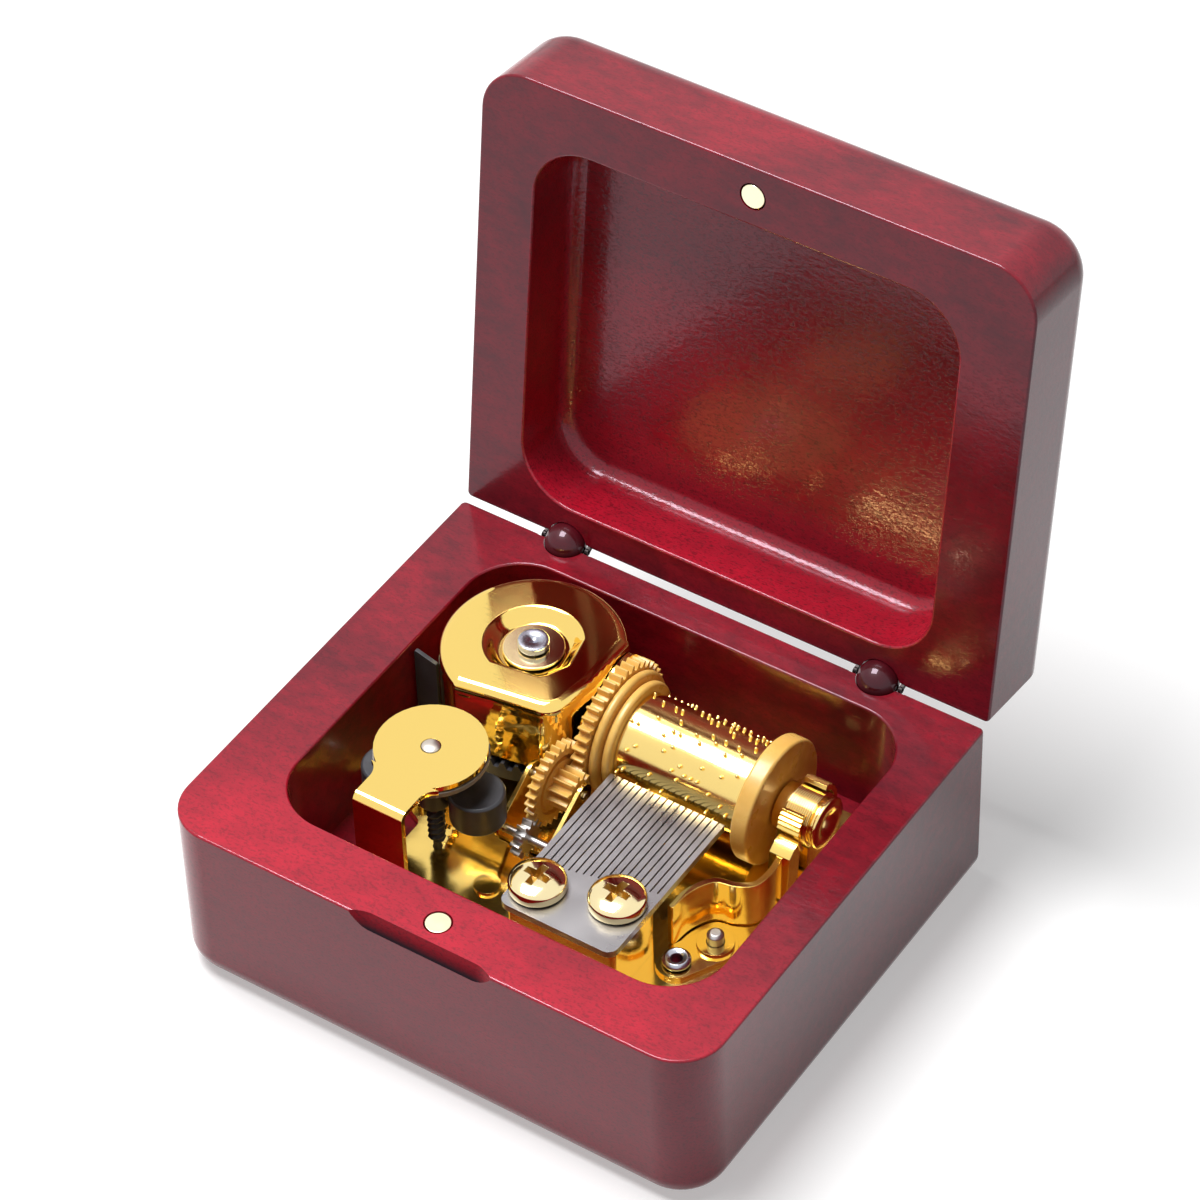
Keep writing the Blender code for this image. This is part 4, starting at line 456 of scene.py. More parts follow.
def makeLacquer(name, look):
    # the clear gloss follows the ripple, and a weak rough coat adds the haze round it
    material, tree, shader = startMaterial(
        name, look["warm"], Coat_Weight=look["haze"], Coat_Roughness=look["hazeRoughness"],
        Specular_IOR_Level=look["gloss"], Specular_Tint=look["glossTint"])
    figure = useGroup(tree, grainGroup)
    tone = look["base"]
    # streaks and clouds vary the stain; the last share is painted light, paler toward the front
    for output in ("Streaks", "Clouds", "PaintedFrontLight"):
        share = calculate(tree, "MULTIPLY", figure.outputs[output], look[output.lower()])
        tone = calculate(tree, "ADD", share, tone)
    colour = blendColours(tree, tone, look["deep"], look["warm"])
    # painted shade: lower down in the scoop the colour turns to the near-black pore colour
    if "paintedShadeBetween" in look:
        axes = tree.nodes.new("ShaderNodeSeparateXYZ")
        tree.links.new(objectPlace(tree), axes.inputs["Vector"])
        low = ramp(tree, axes.outputs["Z"], (look["paintedShadeBetween"], (1.0, 0.0)))
        colour = blendColours(tree, low, colour, look["pore"])  # the scoop's shaded floor
    pores = calculate(tree, "MULTIPLY", figure.outputs["Pores"], look["poreShare"])
    tree.links.new(blendColours(tree, pores, colour, look["pore"]), shader.inputs["Base Color"])
    low, high = look["roughness"]
    shine = useGroup(tree, wearGroup, Low=low, High=high, Patch_Scale=80.0)
    tree.links.new(shine.outputs["Roughness"], shader.inputs["Roughness"])
    addBump(tree, shader, figure.outputs["Ripple"], look["ripple"])
    return material


woodLacquer = makeLacquer("burgundyLacquer", lacquer)
ballLacquer = makeLacquer("burgundyBall", glossyBall)
scoopPaintedShadeLacquer = makeLacquer("burgundyScoopPaintedShade", scoopPaintedShade)
recessPaintedLightLacquer = makeLacquer("burgundyRecessPaintedLight", insideLidPaintedLight)


# Metals and plastics

hairDepth = 0.0000012


def makeMetal(name, colour, low, high, scratch=wear["scratchStretch"], swell=0.0, swellScale=160.0,
              fadeAbove=None):
    # low and high bound the roughness; swell is the height of slow waves in pressed sheet, which stop
    # at fadeAbove on the way up
    material, tree, shader = startMaterial(name, colour, Metallic=1.0)
    shine = useGroup(tree, wearGroup, Low=low, High=high, Scratch_Stretch=scratch)
    tree.links.new(shine.outputs["Roughness"], shader.inputs["Roughness"])
    relief = calculate(tree, "ADD", shine.outputs["Scratches"], shine.outputs["Specks"])
    bump = addBump(tree, shader, relief, hairDepth)
    if swell:
        place = objectPlace(tree)
        height = noise(tree, place, swellScale, 2.0)
        if fadeAbove:
            level = tree.nodes.new("ShaderNodeSeparateXYZ")
            tree.links.new(place, level.inputs["Vector"])
            share = ramp(tree, level.outputs["Z"], ((fadeAbove - 1.0 * mm, fadeAbove), (1.0, 0.0)))
            height = calculate(tree, "MULTIPLY", height, share)
        addBump(tree, shader, height, swell, bump)
    return material


def makeTurnedMetal(name, colour, low, high, centre, along, pitchScale, depth):
    material, tree, shader = startMaterial(name, colour, Metallic=1.0)
    shine = useGroup(tree, wearGroup, Low=low, High=high)
    tree.links.new(shine.outputs["Roughness"], shader.inputs["Roughness"])
    marks = useGroup(tree, ringGroup, Centre=centre, Along=along, Pitch_Scale=pitchScale)
    addBump(tree, shader, marks.outputs["Marks"], depth)
    return material


def makePlastic(name, colour, shade, low, high, subsurface=0.0, relief=0.000002):
    material, tree, shader = startMaterial(name, colour, Specular_IOR_Level=0.5, Subsurface_Weight=subsurface,
                                           Subsurface_Radius=(0.0020, 0.0011, 0.0004), Subsurface_Scale=1.0)
    shine = useGroup(tree, wearGroup, Low=low, High=high, Patch_Scale=260.0)
    patches = ramp(tree, shine.outputs["Roughness"], ((low, high), (0.0, 1.0)))
    tree.links.new(blendColours(tree, patches, colour, shade), shader.inputs["Base Color"])
    tree.links.new(shine.outputs["Roughness"], shader.inputs["Roughness"])
    addBump(tree, shader, calculate(tree, "ADD", shine.outputs["Scratches"], patches), relief)
    return material


def makeSmoked():
    material, tree, shader = startMaterial("smokedDisc", (0.46, 0.42, 0.37), IOR=1.48,
                                           Transmission_Weight=0.35)
    shine = useGroup(tree, wearGroup, Low=0.14, High=0.28, Patch_Scale=200.0)
    tree.links.new(shine.outputs["Roughness"], shader.inputs["Roughness"])
    return material


cylinderAxis = Vector(joints["cylinder_spin"]["pos_m"])
springAxis = Vector(joints["drive_spin"]["pos_m"])
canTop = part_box("spring_can")[1].z

canGold = makeMetal("polishedCan", (0.97, 0.70, 0.20), 0.05, 0.10, swell=0.00010, swellScale=260.0,
                    fadeAbove=canTop - 2.0 * mm)
capGold = makeMetal("polishedCap", (0.97, 0.70, 0.20), 0.05, 0.09)
plateGold = makeMetal("pressedGold", (0.95, 0.67, 0.19), 0.09, 0.18, swell=0.00006, swellScale=200.0)
tubeGold = makeMetal("tubeGold", (0.95, 0.70, 0.24), 0.13, 0.22, scratch=(5000.0, 300.0, 300.0))
honeyPlastic = makePlastic("honeyPlastic", (0.84, 0.52, 0.14), (0.74, 0.42, 0.09), 0.26, 0.38, 0.10)
charcoal = makePlastic("charcoalPlastic", (0.034, 0.034, 0.040), (0.055, 0.055, 0.064), 0.30, 0.48,
                       relief=0.000006)
combSteel = makeMetal("combSteel", (0.38, 0.37, 0.38), 0.26, 0.36, scratch=(6000.0, 300.0, 6000.0))
plainSteel = makeMetal("plainSteel", (0.50, 0.48, 0.47), 0.22, 0.38)
darkSteel = makeMetal("darkSteel", (0.03, 0.025, 0.025), 0.35, 0.50)
washerBrass = makeTurnedMetal("washerBrass", (0.93, 0.76, 0.42), 0.10, 0.20, springAxis, (0, 0, 1), 7000.0,
                              0.0000012)
screwBrass = makeMetal("screwBrass", (0.95, 0.80, 0.46), 0.07, 0.15)
# painted shade: the screws' cross recesses are painted dark amber
slotBrassPaintedShade = makeMetal("slotBrassPaintedShade", (0.52, 0.34, 0.10), 0.28, 0.42)
bushGold = makeTurnedMetal("bushGold", (0.95, 0.70, 0.28), 0.08, 0.18, cylinderAxis, (1, 0, 0), 9000.0,
                           0.0000020)
wormBrass = makeMetal("wormBrass", (0.93, 0.74, 0.38), 0.16, 0.26)
rivetSteel = makeTurnedMetal("rivetSteel", (0.46, 0.47, 0.54), 0.20, 0.32, springAxis, (0, 0, 1), 6000.0,
                             0.0000015)
magnetPlate = makeMetal("magnetPlate", (0.92, 0.86, 0.60), 0.16, 0.26)
pivotMetal = makeMetal("pivotMetal", (0.62, 0.56, 0.50), 0.26, 0.38)
smokedPlastic = makeSmoked()
print("materials built")


# Wooden case and lid, rebuilt with fine rounds at the CAD's sizes

box = {
    "rimLeft": 10.1 * mm, "rimRight": 7.2 * mm, "rimFront": 10.0 * mm, "rimBack": 4.8 * mm,
    "floor": 9.0 * mm, "cornerRadius": 7.0 * mm, "backCornerRadius": 0.8 * mm, "edgeRound": 4.0 * mm,
    "pocketRadius": 8.5 * mm, "lidRimLeft": 8.9 * mm, "lidRimRight": 10.3 * mm, "lidRimFront": 8.9 * mm,
    "lidRimBack": 4.8 * mm, "lidRecess": 10.0 * mm, "lidCove": 2.5 * mm, "lipRound": 0.35 * mm,
    "keyRecessRadius": 13.0 * mm, "keyRecessDepth": 7.2 * mm, "notchLength": 22.8 * mm,
    "notchRadius": 6.33 * mm, "notchEndRadius": 5.25 * mm, "notchEnd": 3.4 * mm, "notchAhead": 5.0 * mm,
    "notchAbove": 1.675 * mm, "magnetRadius": 1.98 * mm, "magnetDepth": 2.1 * mm,
    "magnetSetback": 4.4 * mm, "lidOpen": 97.3, "gap": 0.3 * mm, "lidHeight": 15.2 * mm,
    "backReach": 0.40 * mm, "arborHole": 1.7 * mm, "holeTop": 12.0 * mm, "screwRoom": 0.3 * mm,
    "screwSink": 2.4 * mm, "screwHole": 1.5 * mm, "caseSoft": 0.15 * mm, "lidSoft": 0.10 * mm,
    "woodAngle": 28,
}
caseLow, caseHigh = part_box("case")
hingeAxis = Vector(joints["lid_hinge"]["pos_m"])
opening = Matrix.Rotation(-math.radians(box["lidOpen"]), 4, "X")
swing = Matrix.Translation(hingeAxis) @ opening @ Matrix.Translation(-hingeAxis)


def woodLayers(bottom, top, roundBottom):
    # the outer shape, with a large round at one end and the fine lip round at the other
    radii = (box["cornerRadius"],) * 2 + (box["backCornerRadius"],) * 2

    def outline(inset):
        return boxLoop(caseLow.x, caseHigh.x, caseLow.y, caseHigh.y + box["backReach"], radii, inset, 12)

    edge, lip = box["edgeRound"], box["lipRound"]
    large = [(edge * (1 - math.sin(angle)), edge * (1 - math.cos(angle))) for angle in quarterTurn(10)]
    small = [(lip * (1 - math.cos(angle)), lip * (1 - math.sin(angle))) for angle in quarterTurn(4)]
    if roundBottom:
        return ([(outline(inset), bottom + rise) for inset, rise in large]
                + [(outline(inset), top - drop) for inset, drop in small])
    return ([(outline(inset), bottom + drop) for inset, drop in small[::-1]]
            + [(outline(inset), top - rise) for inset, rise in large[::-1]])


def flaredCutter(name, outline, rim, depthSigned, cove=0.0):
    # a pocket cutter whose mouth flares by the lip round; depthSigned is negative for a pocket that goes down
    side = -1 if depthSigned < 0 else 1
    lip = box["lipRound"]
    layers = [(outline(-lip), rim - side * 2 * beyond)]
    for angle in quarterTurn(4):
        layers.append((outline(-lip * (1 - math.sin(angle))), rim + side * lip * (1 - math.cos(angle))))
    floorLevel = rim + depthSigned
    if cove:
        for angle in quarterTurn(8):
            level = floorLevel - side * cove * (1 - math.sin(angle))
            layers.append((outline(cove * (1 - math.cos(angle))), level))
    else:
        layers.append((outline(0.0), floorLevel))
    if side < 0:
        layers.reverse()
    return loft(name, layers)


hinge = {
    "inset": 17.0 * mm, "ball": 3.0 * mm, "bore": 0.55 * mm, "hollow": 3.12 * mm, "pinHollow": 0.66 * mm,
    "pinReach": 4.4 * mm, "stem": 1.0 * mm, "stemLength": 6.2 * mm, "stemSlope": 225,
    "slotHalf": 0.46 * mm, "slotWide": 3.9 * mm, "slotReach": 5.1 * mm, "slotSlope": 60,
    "fineScale": 0.50, "pinScale": 0.64, "stemRoom": 0.1 * mm, "stemEnd": 0.3 * mm, "soft": 0.05 * mm,
}
hingePlaces = [side * ((caseHigh.x - caseLow.x) / 2 - hinge["inset"]) for side in (-1, 1)]


def rod(name, radius, low, high, centre, axis="Z", steps=48):
    return turned(name, [(0, low), (radius, low), (radius, high), (0, high)], centre, axis, steps)


def sphere(radius, bore=0.0):
    # a half outline to turn; with a bore it stays open round the axis
    steps = 24
    start = math.asin(bore / radius)
    span = math.pi - 2 * start
    points = [(radius * math.sin(start + span * k / steps), -radius * math.cos(start + span * k / steps))
              for k in range(steps + 1)]
    if not bore:
        points[0], points[-1] = (0, -radius), (0, radius)
    return points


def stemRod(name, radius, low, high, x):
    # slopes from the hinge axis down into the case
    obj = rod(name, radius, low, high, (0, 0, 0), "Y", 32)
    turn = Matrix.Rotation(math.radians(hinge["stemSlope"]), 4, "X")
    obj.data.transform(Matrix.Translation((x, hingeAxis.y, hingeAxis.z)) @ turn)
    return obj


def hingeCutters(x):
    place = (x, hingeAxis.y, hingeAxis.z)
    return [turned("ballHollow", sphere(hinge["hollow"]), place, "X", 48),
            rod("pinHollow", hinge["pinHollow"], -hinge["pinReach"], hinge["pinReach"], place, "X", 32)]


def buildScoop():
    # finger notch, a flat scoop that rounds off to nothing at both ends
    half, grow = box["notchLength"] / 2, box["notchRadius"] - box["notchEndRadius"]
    rise = [(box["notchEndRadius"] + grow * math.sin(angle), box["notchEnd"] * k / 10)
            for k, angle in enumerate(quarterTurn(10))]
    scoop = [(0, -half)] + [(radius, along - half) for radius, along in rise]
    scoop += [(radius, half - along) for radius, along in rise[::-1]] + [(0, half)]
    place = (0, caseLow.y - box["notchAhead"], caseHigh.z + box["notchAbove"])
    return turned("notch", scoop, place, "X", 128)


def buildCase():
    case = loft("woodenCase", woodLayers(caseLow.z, caseHigh.z, True))

    def pocket(inset):
        return boxLoop(caseLow.x + box["rimLeft"], caseHigh.x - box["rimRight"], caseLow.y + box["rimFront"],
                       caseHigh.y - box["rimBack"], [box["pocketRadius"]] * 4, inset, 14)

    spring = (springAxis.x, springAxis.y, 0)
    tools = [flaredCutter("pocket", pocket, caseHigh.z, box["floor"] - caseHigh.z),
             rod("keyRecess", box["keyRecessRadius"], -beyond, box["keyRecessDepth"], spring, steps=96),
             rod("arborHole", box["arborHole"], -beyond, box["holeTop"], spring, steps=32),
             rod("magnetHole", box["magnetRadius"], -box["magnetDepth"], beyond,
                 (0, caseLow.y + box["magnetSetback"], caseHigh.z))]
    for number in (1, 2, 3):
        low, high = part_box(f"case_screw_{number}")
        middle = ((low.x + high.x) / 2, (low.y + high.y) / 2, 0)
        radius, hole, sink = (high.x - low.x) / 2 + box["screwRoom"], box["screwHole"], box["screwSink"]
        profile = [(0, -beyond), (radius, -beyond), (radius, sink), (hole, sink), (hole, box["holeTop"]),
                   (0, box["holeTop"])]
        tools.append(turned(f"screwHole{number}", profile, middle, steps=48))
    for x in hingePlaces:
        tools += hingeCutters(x)
        tools.append(stemRod("stemHole", hinge["stem"] + hinge["stemRoom"], 0,
                             hinge["stemLength"] + hinge["stemEnd"], x))
    # the scoop cutter carries the painted-shade lacquer into the case
    tools.append(paint(buildScoop(), scoopPaintedShadeLacquer))
    boolean(paint(case, woodLacquer), tools)
    softenEdges(case, box["caseSoft"], box["woodAngle"])
    return dress(case, None, "case_body", "case")


def buildLid():
    bottom = caseHigh.z + box["gap"]
    lid = loft("woodenLid", woodLayers(bottom, bottom + box["lidHeight"], False))

    def recess(inset):
        return boxLoop(caseLow.x + box["lidRimLeft"], caseHigh.x - box["lidRimRight"],
                       caseLow.y + box["lidRimFront"], caseHigh.y - box["lidRimBack"],
                       [box["pocketRadius"]] * 4, inset, 14)

    # the recess cutter carries the paler, painted-light lacquer into the lid
    tools = [paint(flaredCutter("recess", recess, bottom, box["lidRecess"], box["lidCove"]), recessPaintedLightLacquer),
             rod("magnetHole", box["magnetRadius"], -beyond, box["magnetDepth"],
                 (0, caseLow.y + box["magnetSetback"], bottom))]
    for x in hingePlaces:
        tools += hingeCutters(x)
        slot = hullOf("yokeSlot", [(u, v, w) for u in (-hinge["slotWide"], hinge["slotWide"])
                                   for v in (-hinge["slotReach"], 0)
                                   for w in (-hinge["slotHalf"], hinge["slotHalf"])])
        turn = Matrix.Rotation(-math.radians(hinge["slotSlope"]), 4, "X")
        slot.data.transform(Matrix.Translation((x, hingeAxis.y, hingeAxis.z)) @ turn)
        tools.append(slot)
    boolean(paint(lid, woodLacquer), tools)
    lid.data.transform(swing)
    softenEdges(lid, box["lidSoft"], box["woodAngle"])
    return dress(lid, None, "lid_body", "lid")


def buildBalls():
    for x, side in zip(hingePlaces, ("left", "right")):
        ball = turned(f"hingeBall{side.capitalize()}", sphere(hinge["ball"], hinge["bore"]),
                      (x, hingeAxis.y, hingeAxis.z), "X", 48)
        boolean(ball, [stemRod("stem", hinge["stem"], hinge["ball"] * 0.5, hinge["stemLength"], x)], "UNION")
        shadeByFaces(ball)
        dress(ball, ballLacquer, "case_body", f"hinge_ball_{side}")


def buildPins():
    # pins and yokes a little finer than the CAD's, round the same axis
    fine, shorter = hinge["fineScale"], hinge["pinScale"]
    for x, side in zip(hingePlaces, ("left", "right")):
        place = Matrix.Translation((x, hingeAxis.y, hingeAxis.z))
        for piece, body, along in (("pin", "case_body", shorter), ("yoke", "lid_body", 1.0)):
            pieceName = f"hinge{piece.capitalize()}{side.capitalize()}"
            obj = fineCopy(f"hinge_{piece}_{side}", pieceName, darkSteel, body, hinge["soft"])
            obj.data.transform(place @ Matrix.Diagonal((along, fine, fine, 1)) @ place.inverted())


buildCase()
buildLid()
buildBalls()
buildPins()
print("case, lid and hinge balls built")


# Spring can: one closed skin of walls, rolled edge, soft dish, roof and inside

can = {
    "radius": 13.05 * mm, "frontFlat": 11.3 * mm, "frontTilt": 9.0, "rightFlat": 11.1 * mm,
    "bend": 2.0 * mm, "lean": 10.0, "corner": 3.5 * mm, "wall": 0.8 * mm, "edgeRound": 1.6 * mm,
    "dish": 6.6 * mm, "dishFlat": 4.8 * mm, "dishDepth": 1.7 * mm, "dishLip": 0.5 * mm, "roof": 0.8 * mm,
    "bore": 1.2 * mm, "leastCorner": 0.4 * mm, "windowHalf": 4.6 * mm, "windowDepth": 1.6 * mm,
}


def canOutline(inset):
    # a round back, a flat front, and a flat right side that leans in after its bend
    steps = 12
    radius, front, right = can["radius"] - inset, can["frontFlat"] - inset, can["rightFlat"] - inset
    tilt, lean = math.radians(can["frontTilt"]), math.radians(can["lean"])
    start = math.degrees(math.acos(right / radius))
    end = 270 + can["frontTilt"] - math.degrees(math.acos(front / radius))
    bend = Vector((right, inset * math.tan(lean / 2) - can["bend"]))
    along = Vector((-math.sin(lean), -math.cos(lean)))
    reach = (front - math.sin(tilt) * bend.x + math.cos(tilt) * bend.y) / math.cos(lean + tilt)
    corner = bend + along * reach
    before = onCircle((0, 0), radius, end)
    cornerRound = max(can["corner"] - inset, can["leastCorner"])
    loop = roundedLoop([(*before, tightest), (*corner, cornerRound), (*bend, tightest)], steps)
    fillet = loop[steps + 1:2 * (steps + 1)]
    return [springAxis.xy + p for p in arcPoints((0, 0), radius, start, end, 72) + fillet + [bend]]


def buildCan():
    low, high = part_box("spring_can")
    layers = [(canOutline(0), low.z)]
    for angle in quarterTurn(10):
        layers.append((canOutline(can["edgeRound"] * (1 - math.cos(angle))),
                       high.z - can["edgeRound"] * (1 - math.sin(angle))))
    spokes = [(p - springAxis.xy).normalized() for p in canOutline(can["edgeRound"])]

    def ring(radius, height):
        layers.append(([springAxis.xy + spoke * radius for spoke in spokes], height))

    lip = can["dish"] + can["dishLip"]
    for k in range(15):
        share = k / 14
        ring(lip + (can["dishFlat"] - lip) * share, high.z - can["dishDepth"] * share**2 * (3 - 2 * share))
    ring(can["bore"], high.z - can["dishDepth"])
    roof = high.z - can["dishDepth"] - can["roof"]
    ring(can["bore"], roof)
    layers.append((canOutline(can["wall"]), roof))
    layers.append((canOutline(can["wall"]), low.z))
    body = loft("goldCan", layers, closed=True)
    half, right = can["windowHalf"], springAxis.x + can["rightFlat"]
    window = hullOf("window", [(x, y, z) for x in (right - can["windowDepth"], springAxis.x + can["radius"])
                               for y in (springAxis.y - half, springAxis.y + half)
                               for z in (low.z - beyond, cylinderAxis.z + half)])
    boolean(body, [window])
    shadeByFaces(body)
    return dress(body, canGold, "case_body", "spring_can")


rivet = {
    "washer": 4.3 * mm, "washerHole": 1.2 * mm, "washerEdge": 0.14 * mm, "head": 2.2 * mm,
    "headHeight": 1.1 * mm, "edge": 0.28 * mm, "underEdge": 0.1 * mm, "dimple": 0.80 * mm,
    "dimpleDepth": 0.40 * mm, "shaft": 1.1 * mm,
}


def buildRivet():
    centre = (springAxis.x, springAxis.y, 0)
    low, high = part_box("can_washer")
    hole, radius = rivet["washerHole"], rivet["washer"]
    washer = turned("canWasher", roundedLoop([
        (hole, low.z, 0.03 * mm), (radius, low.z, 0.05 * mm), (radius, high.z, rivet["washerEdge"]),
        (hole, high.z, 0.03 * mm)], 5), centre)
    shadeByFaces(washer)
    dress(washer, washerBrass, "case_body", "can_washer")
    low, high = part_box("spring_arbor")
    under, edge = high.z - rivet["headHeight"], rivet["underEdge"]
    profile = [(0, low.z), (rivet["shaft"], low.z), (rivet["shaft"], under), (rivet["head"] - edge, under)]
    profile += arcPoints((rivet["head"] - edge, under + edge), edge, -90, 0, 4)
    profile += arcPoints((rivet["head"] - rivet["edge"], high.z - rivet["edge"]), rivet["edge"], 0, 90, 6)
    for k in range(9):
        share = k / 8
        profile.append((rivet["dimple"] * (1 - share),
                        high.z - rivet["dimpleDepth"] * math.sin(math.pi / 2 * share)))
    arbor = turned("springArbor", profile, centre, steps=64)
    shadeByFaces(arbor)
    dress(arbor, rivetSteel, "key", "spring_arbor")


buildCan()
buildRivet()
print("spring can built")


# Cylinder: wheel with two beads, pinned tube, end disc and the grooved bush

cylinder = {
    "wheelWidth": 2.0 * mm, "wheelBore": 1.2 * mm, "wheelSoft": 0.05 * mm, "faceCut": 0.01 * mm,
    "beadRoot": 8.0 * mm, "beadSunk": 0.4 * mm, "beadStart": 0.1 * mm, "beadOne": 9.2 * mm,
    "beadTwo": 8.2 * mm, "beadWidth": 1.25 * mm, "valley": 7.6 * mm, "valleyWidth": 0.2 * mm,
    "spigot": 6.2 * mm, "wheelSpigot": 1.6 * mm, "tube": 6.8 * mm, "tubeWall": 0.5 * mm, "disc": 9.2 * mm,
    "discWidth": 2.7 * mm, "discRound": 0.45 * mm, "spigotDepth": 1.5 * mm,
}
pins = {
    "radius": 0.27 * mm, "sides": 10, "height": 0.70 * mm, "shown": 0.56 * mm, "sunk": 0.3 * mm,
    "apart": 0.5 * mm,
    "tip": ((1.0, 0.26), (0.90, 0.14), (0.62, 0.05), (0.28, 0.01)),  # share of the radius, mm below the top
}
bush = {
    "bore": 1.0 * mm, "neck": 3.5 * mm, "neckLength": 1.8 * mm, "body": 4.0 * mm, "bodyLength": 3.9 * mm,
    "grooves": 12, "grooveDepth": 0.12 * mm, "collar": 3.8 * mm, "collarLength": 1.3 * mm,
    "collarFlat": 0.5 * mm, "soft": 0.2 * mm,
    "ridge": ((0.08, 1.0), (0.30, 0.12), (0.55, 0.0), (0.80, 0.12)),  # share of the pitch, share of the depth
}


def clearBeyond(obj, x):
    # keeps what is left of the plane at x and closes the cut
    bm = bmesh.new()
    bm.from_mesh(obj.data)
    bmesh.ops.remove_doubles(bm, verts=bm.verts, dist=1e-6)
    result = bmesh.ops.bisect_plane(bm, geom=bm.verts[:] + bm.edges[:] + bm.faces[:], plane_co=(x, 0, 0),
                                    plane_no=(1, 0, 0), clear_outer=True)
    edges = [e for e in result["geom_cut"] if isinstance(e, bmesh.types.BMEdge)]
    bmesh.ops.triangle_fill(bm, edges=edges, use_beauty=True)
    bmesh.ops.recalc_face_normals(bm, faces=bm.faces)
    bm.to_mesh(obj.data)
    bm.free()


def aroundCylinder(name, corners, low):
    # corners are (radius, height from the plane at x = low, round in mm)
    loop = roundedLoop([(radius, height, soft * mm) for radius, height, soft in corners], 7)
    return turned(name, loop, (low, cylinderAxis.y, cylinderAxis.z), "X")


def buildWheel():
    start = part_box("cylinder_wheel")[0].x + cylinder["wheelWidth"]
    wheel = bpy.data.objects.new("honeyWheel", nodes["cylinder_wheel"].data.copy())
    bpy.context.scene.collection.objects.link(wheel)
    clearBeyond(wheel, start - cylinder["faceCut"])
    softenEdges(wheel, cylinder["wheelSoft"])
    bore, sunk, root = cylinder["wheelBore"], -cylinder["beadSunk"], cylinder["beadRoot"]
    one, valley, two, spigot = (cylinder[key] for key in ("beadOne", "valley", "beadTwo", "spigot"))
    oneStart = cylinder["beadStart"]
    oneEnd = oneStart + cylinder["beadWidth"]
    twoStart = oneEnd + cylinder["valleyWidth"]
    twoEnd = twoStart + cylinder["beadWidth"]
    end = twoEnd + cylinder["wheelSpigot"]
    beads = aroundCylinder("beads", [
        (bore, sunk, 0.02), (root, sunk, 0.02), (root, oneStart, 0.02), (one, oneStart, 0.55),
        (one, oneEnd, 0.60), (valley, oneEnd, 0.10), (valley, twoStart, 0.05), (two, twoStart, 0.50),
        (two, twoEnd, 0.50), (spigot, twoEnd, 0.05), (spigot, end, 0.05), (bore, end, 0.02)], start)
    boolean(wheel, [beads], "UNION")
    shadeByFaces(wheel)
    return dress(wheel, honeyPlastic, "cylinder", "cylinder_wheel")


def buildDisc():
    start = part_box("cylinder_end_disc")[0].x + cylinder["spigotDepth"]
    bore, spigot, sunk = bush["bore"], cylinder["spigot"], -cylinder["spigotDepth"]
    radius, width, soft = cylinder["disc"], cylinder["discWidth"], cylinder["discRound"] / mm
    disc = aroundCylinder("honeyDisc", [
        (bore, sunk, 0.02), (spigot, sunk, 0.05), (spigot, 0, 0.03), (radius, 0, soft), (radius, width, soft),
        (bore, width, 0.05)], start)
    shadeByFaces(disc)
    return dress(disc, honeyPlastic, "cylinder", "cylinder_end_disc")


def pinMiddles():
    # the middle of every pin's top, read from the CAD tube
    middles = []
    for vert in nodes["pin_cylinder"].data.vertices:
        away = (vert.co - cylinderAxis).yz.length
        if away < cylinder["tube"] + pins["height"] * 0.9:
            continue
        for near in middles:
            if (near[0] - vert.co).length < pins["apart"]:
                near.append(vert.co.copy())
                break
        else:
            middles.append([vert.co.copy()])
    return [(Vector(map(max, zip(*near))) + Vector(map(min, zip(*near)))) / 2 for near in middles]


def buildTube():
    low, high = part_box("pin_cylinder")
    inner = cylinder["tube"] - cylinder["tubeWall"]
    tube = turned("pinnedTube",
                  [(inner, low.x), (cylinder["tube"], low.x), (cylinder["tube"], high.x), (inner, high.x)],
                  (0, cylinderAxis.y, cylinderAxis.z), "X", 128)
    bm = bmesh.new()
    bm.from_mesh(tube.data)
    radius, sides, top = pins["radius"], pins["sides"], cylinder["tube"] + pins["shown"]
    steps = [(radius, cylinder["tube"] - pins["sunk"])]
    steps += [(radius * share, top - below * mm) for share, below in pins["tip"]]
    middles = pinMiddles()
    for middle in middles:
        out = Vector((0, middle.y - cylinderAxis.y, middle.z - cylinderAxis.z)).normalized()
        side, along = out.cross(Vector((1, 0, 0))), Vector((1, 0, 0))
        base = Vector((middle.x, cylinderAxis.y, cylinderAxis.z))
        rings = []
        for r, height in steps:
            rings.append([bm.verts.new(base + out * height + along * p.x + side * p.y)
                          for p in arcPoints((0, 0), r, 0, 360 - 360 / sides, sides - 1)])
        for lower, upper in zip(rings, rings[1:]):
            for i in range(sides):
                j = (i + 1) % sides
                bm.faces.new((lower[i], lower[j], upper[j], upper[i]))
        bm.faces.new(rings[0][::-1])
        bm.faces.new(rings[-1])
    bmesh.ops.recalc_face_normals(bm, faces=bm.faces)
    bm.to_mesh(tube.data)
    bm.free()
    shadeSmooth(tube)
    print("pins on the tube:", len(middles))
    return dress(tube, tubeGold, "cylinder", "pin_cylinder")


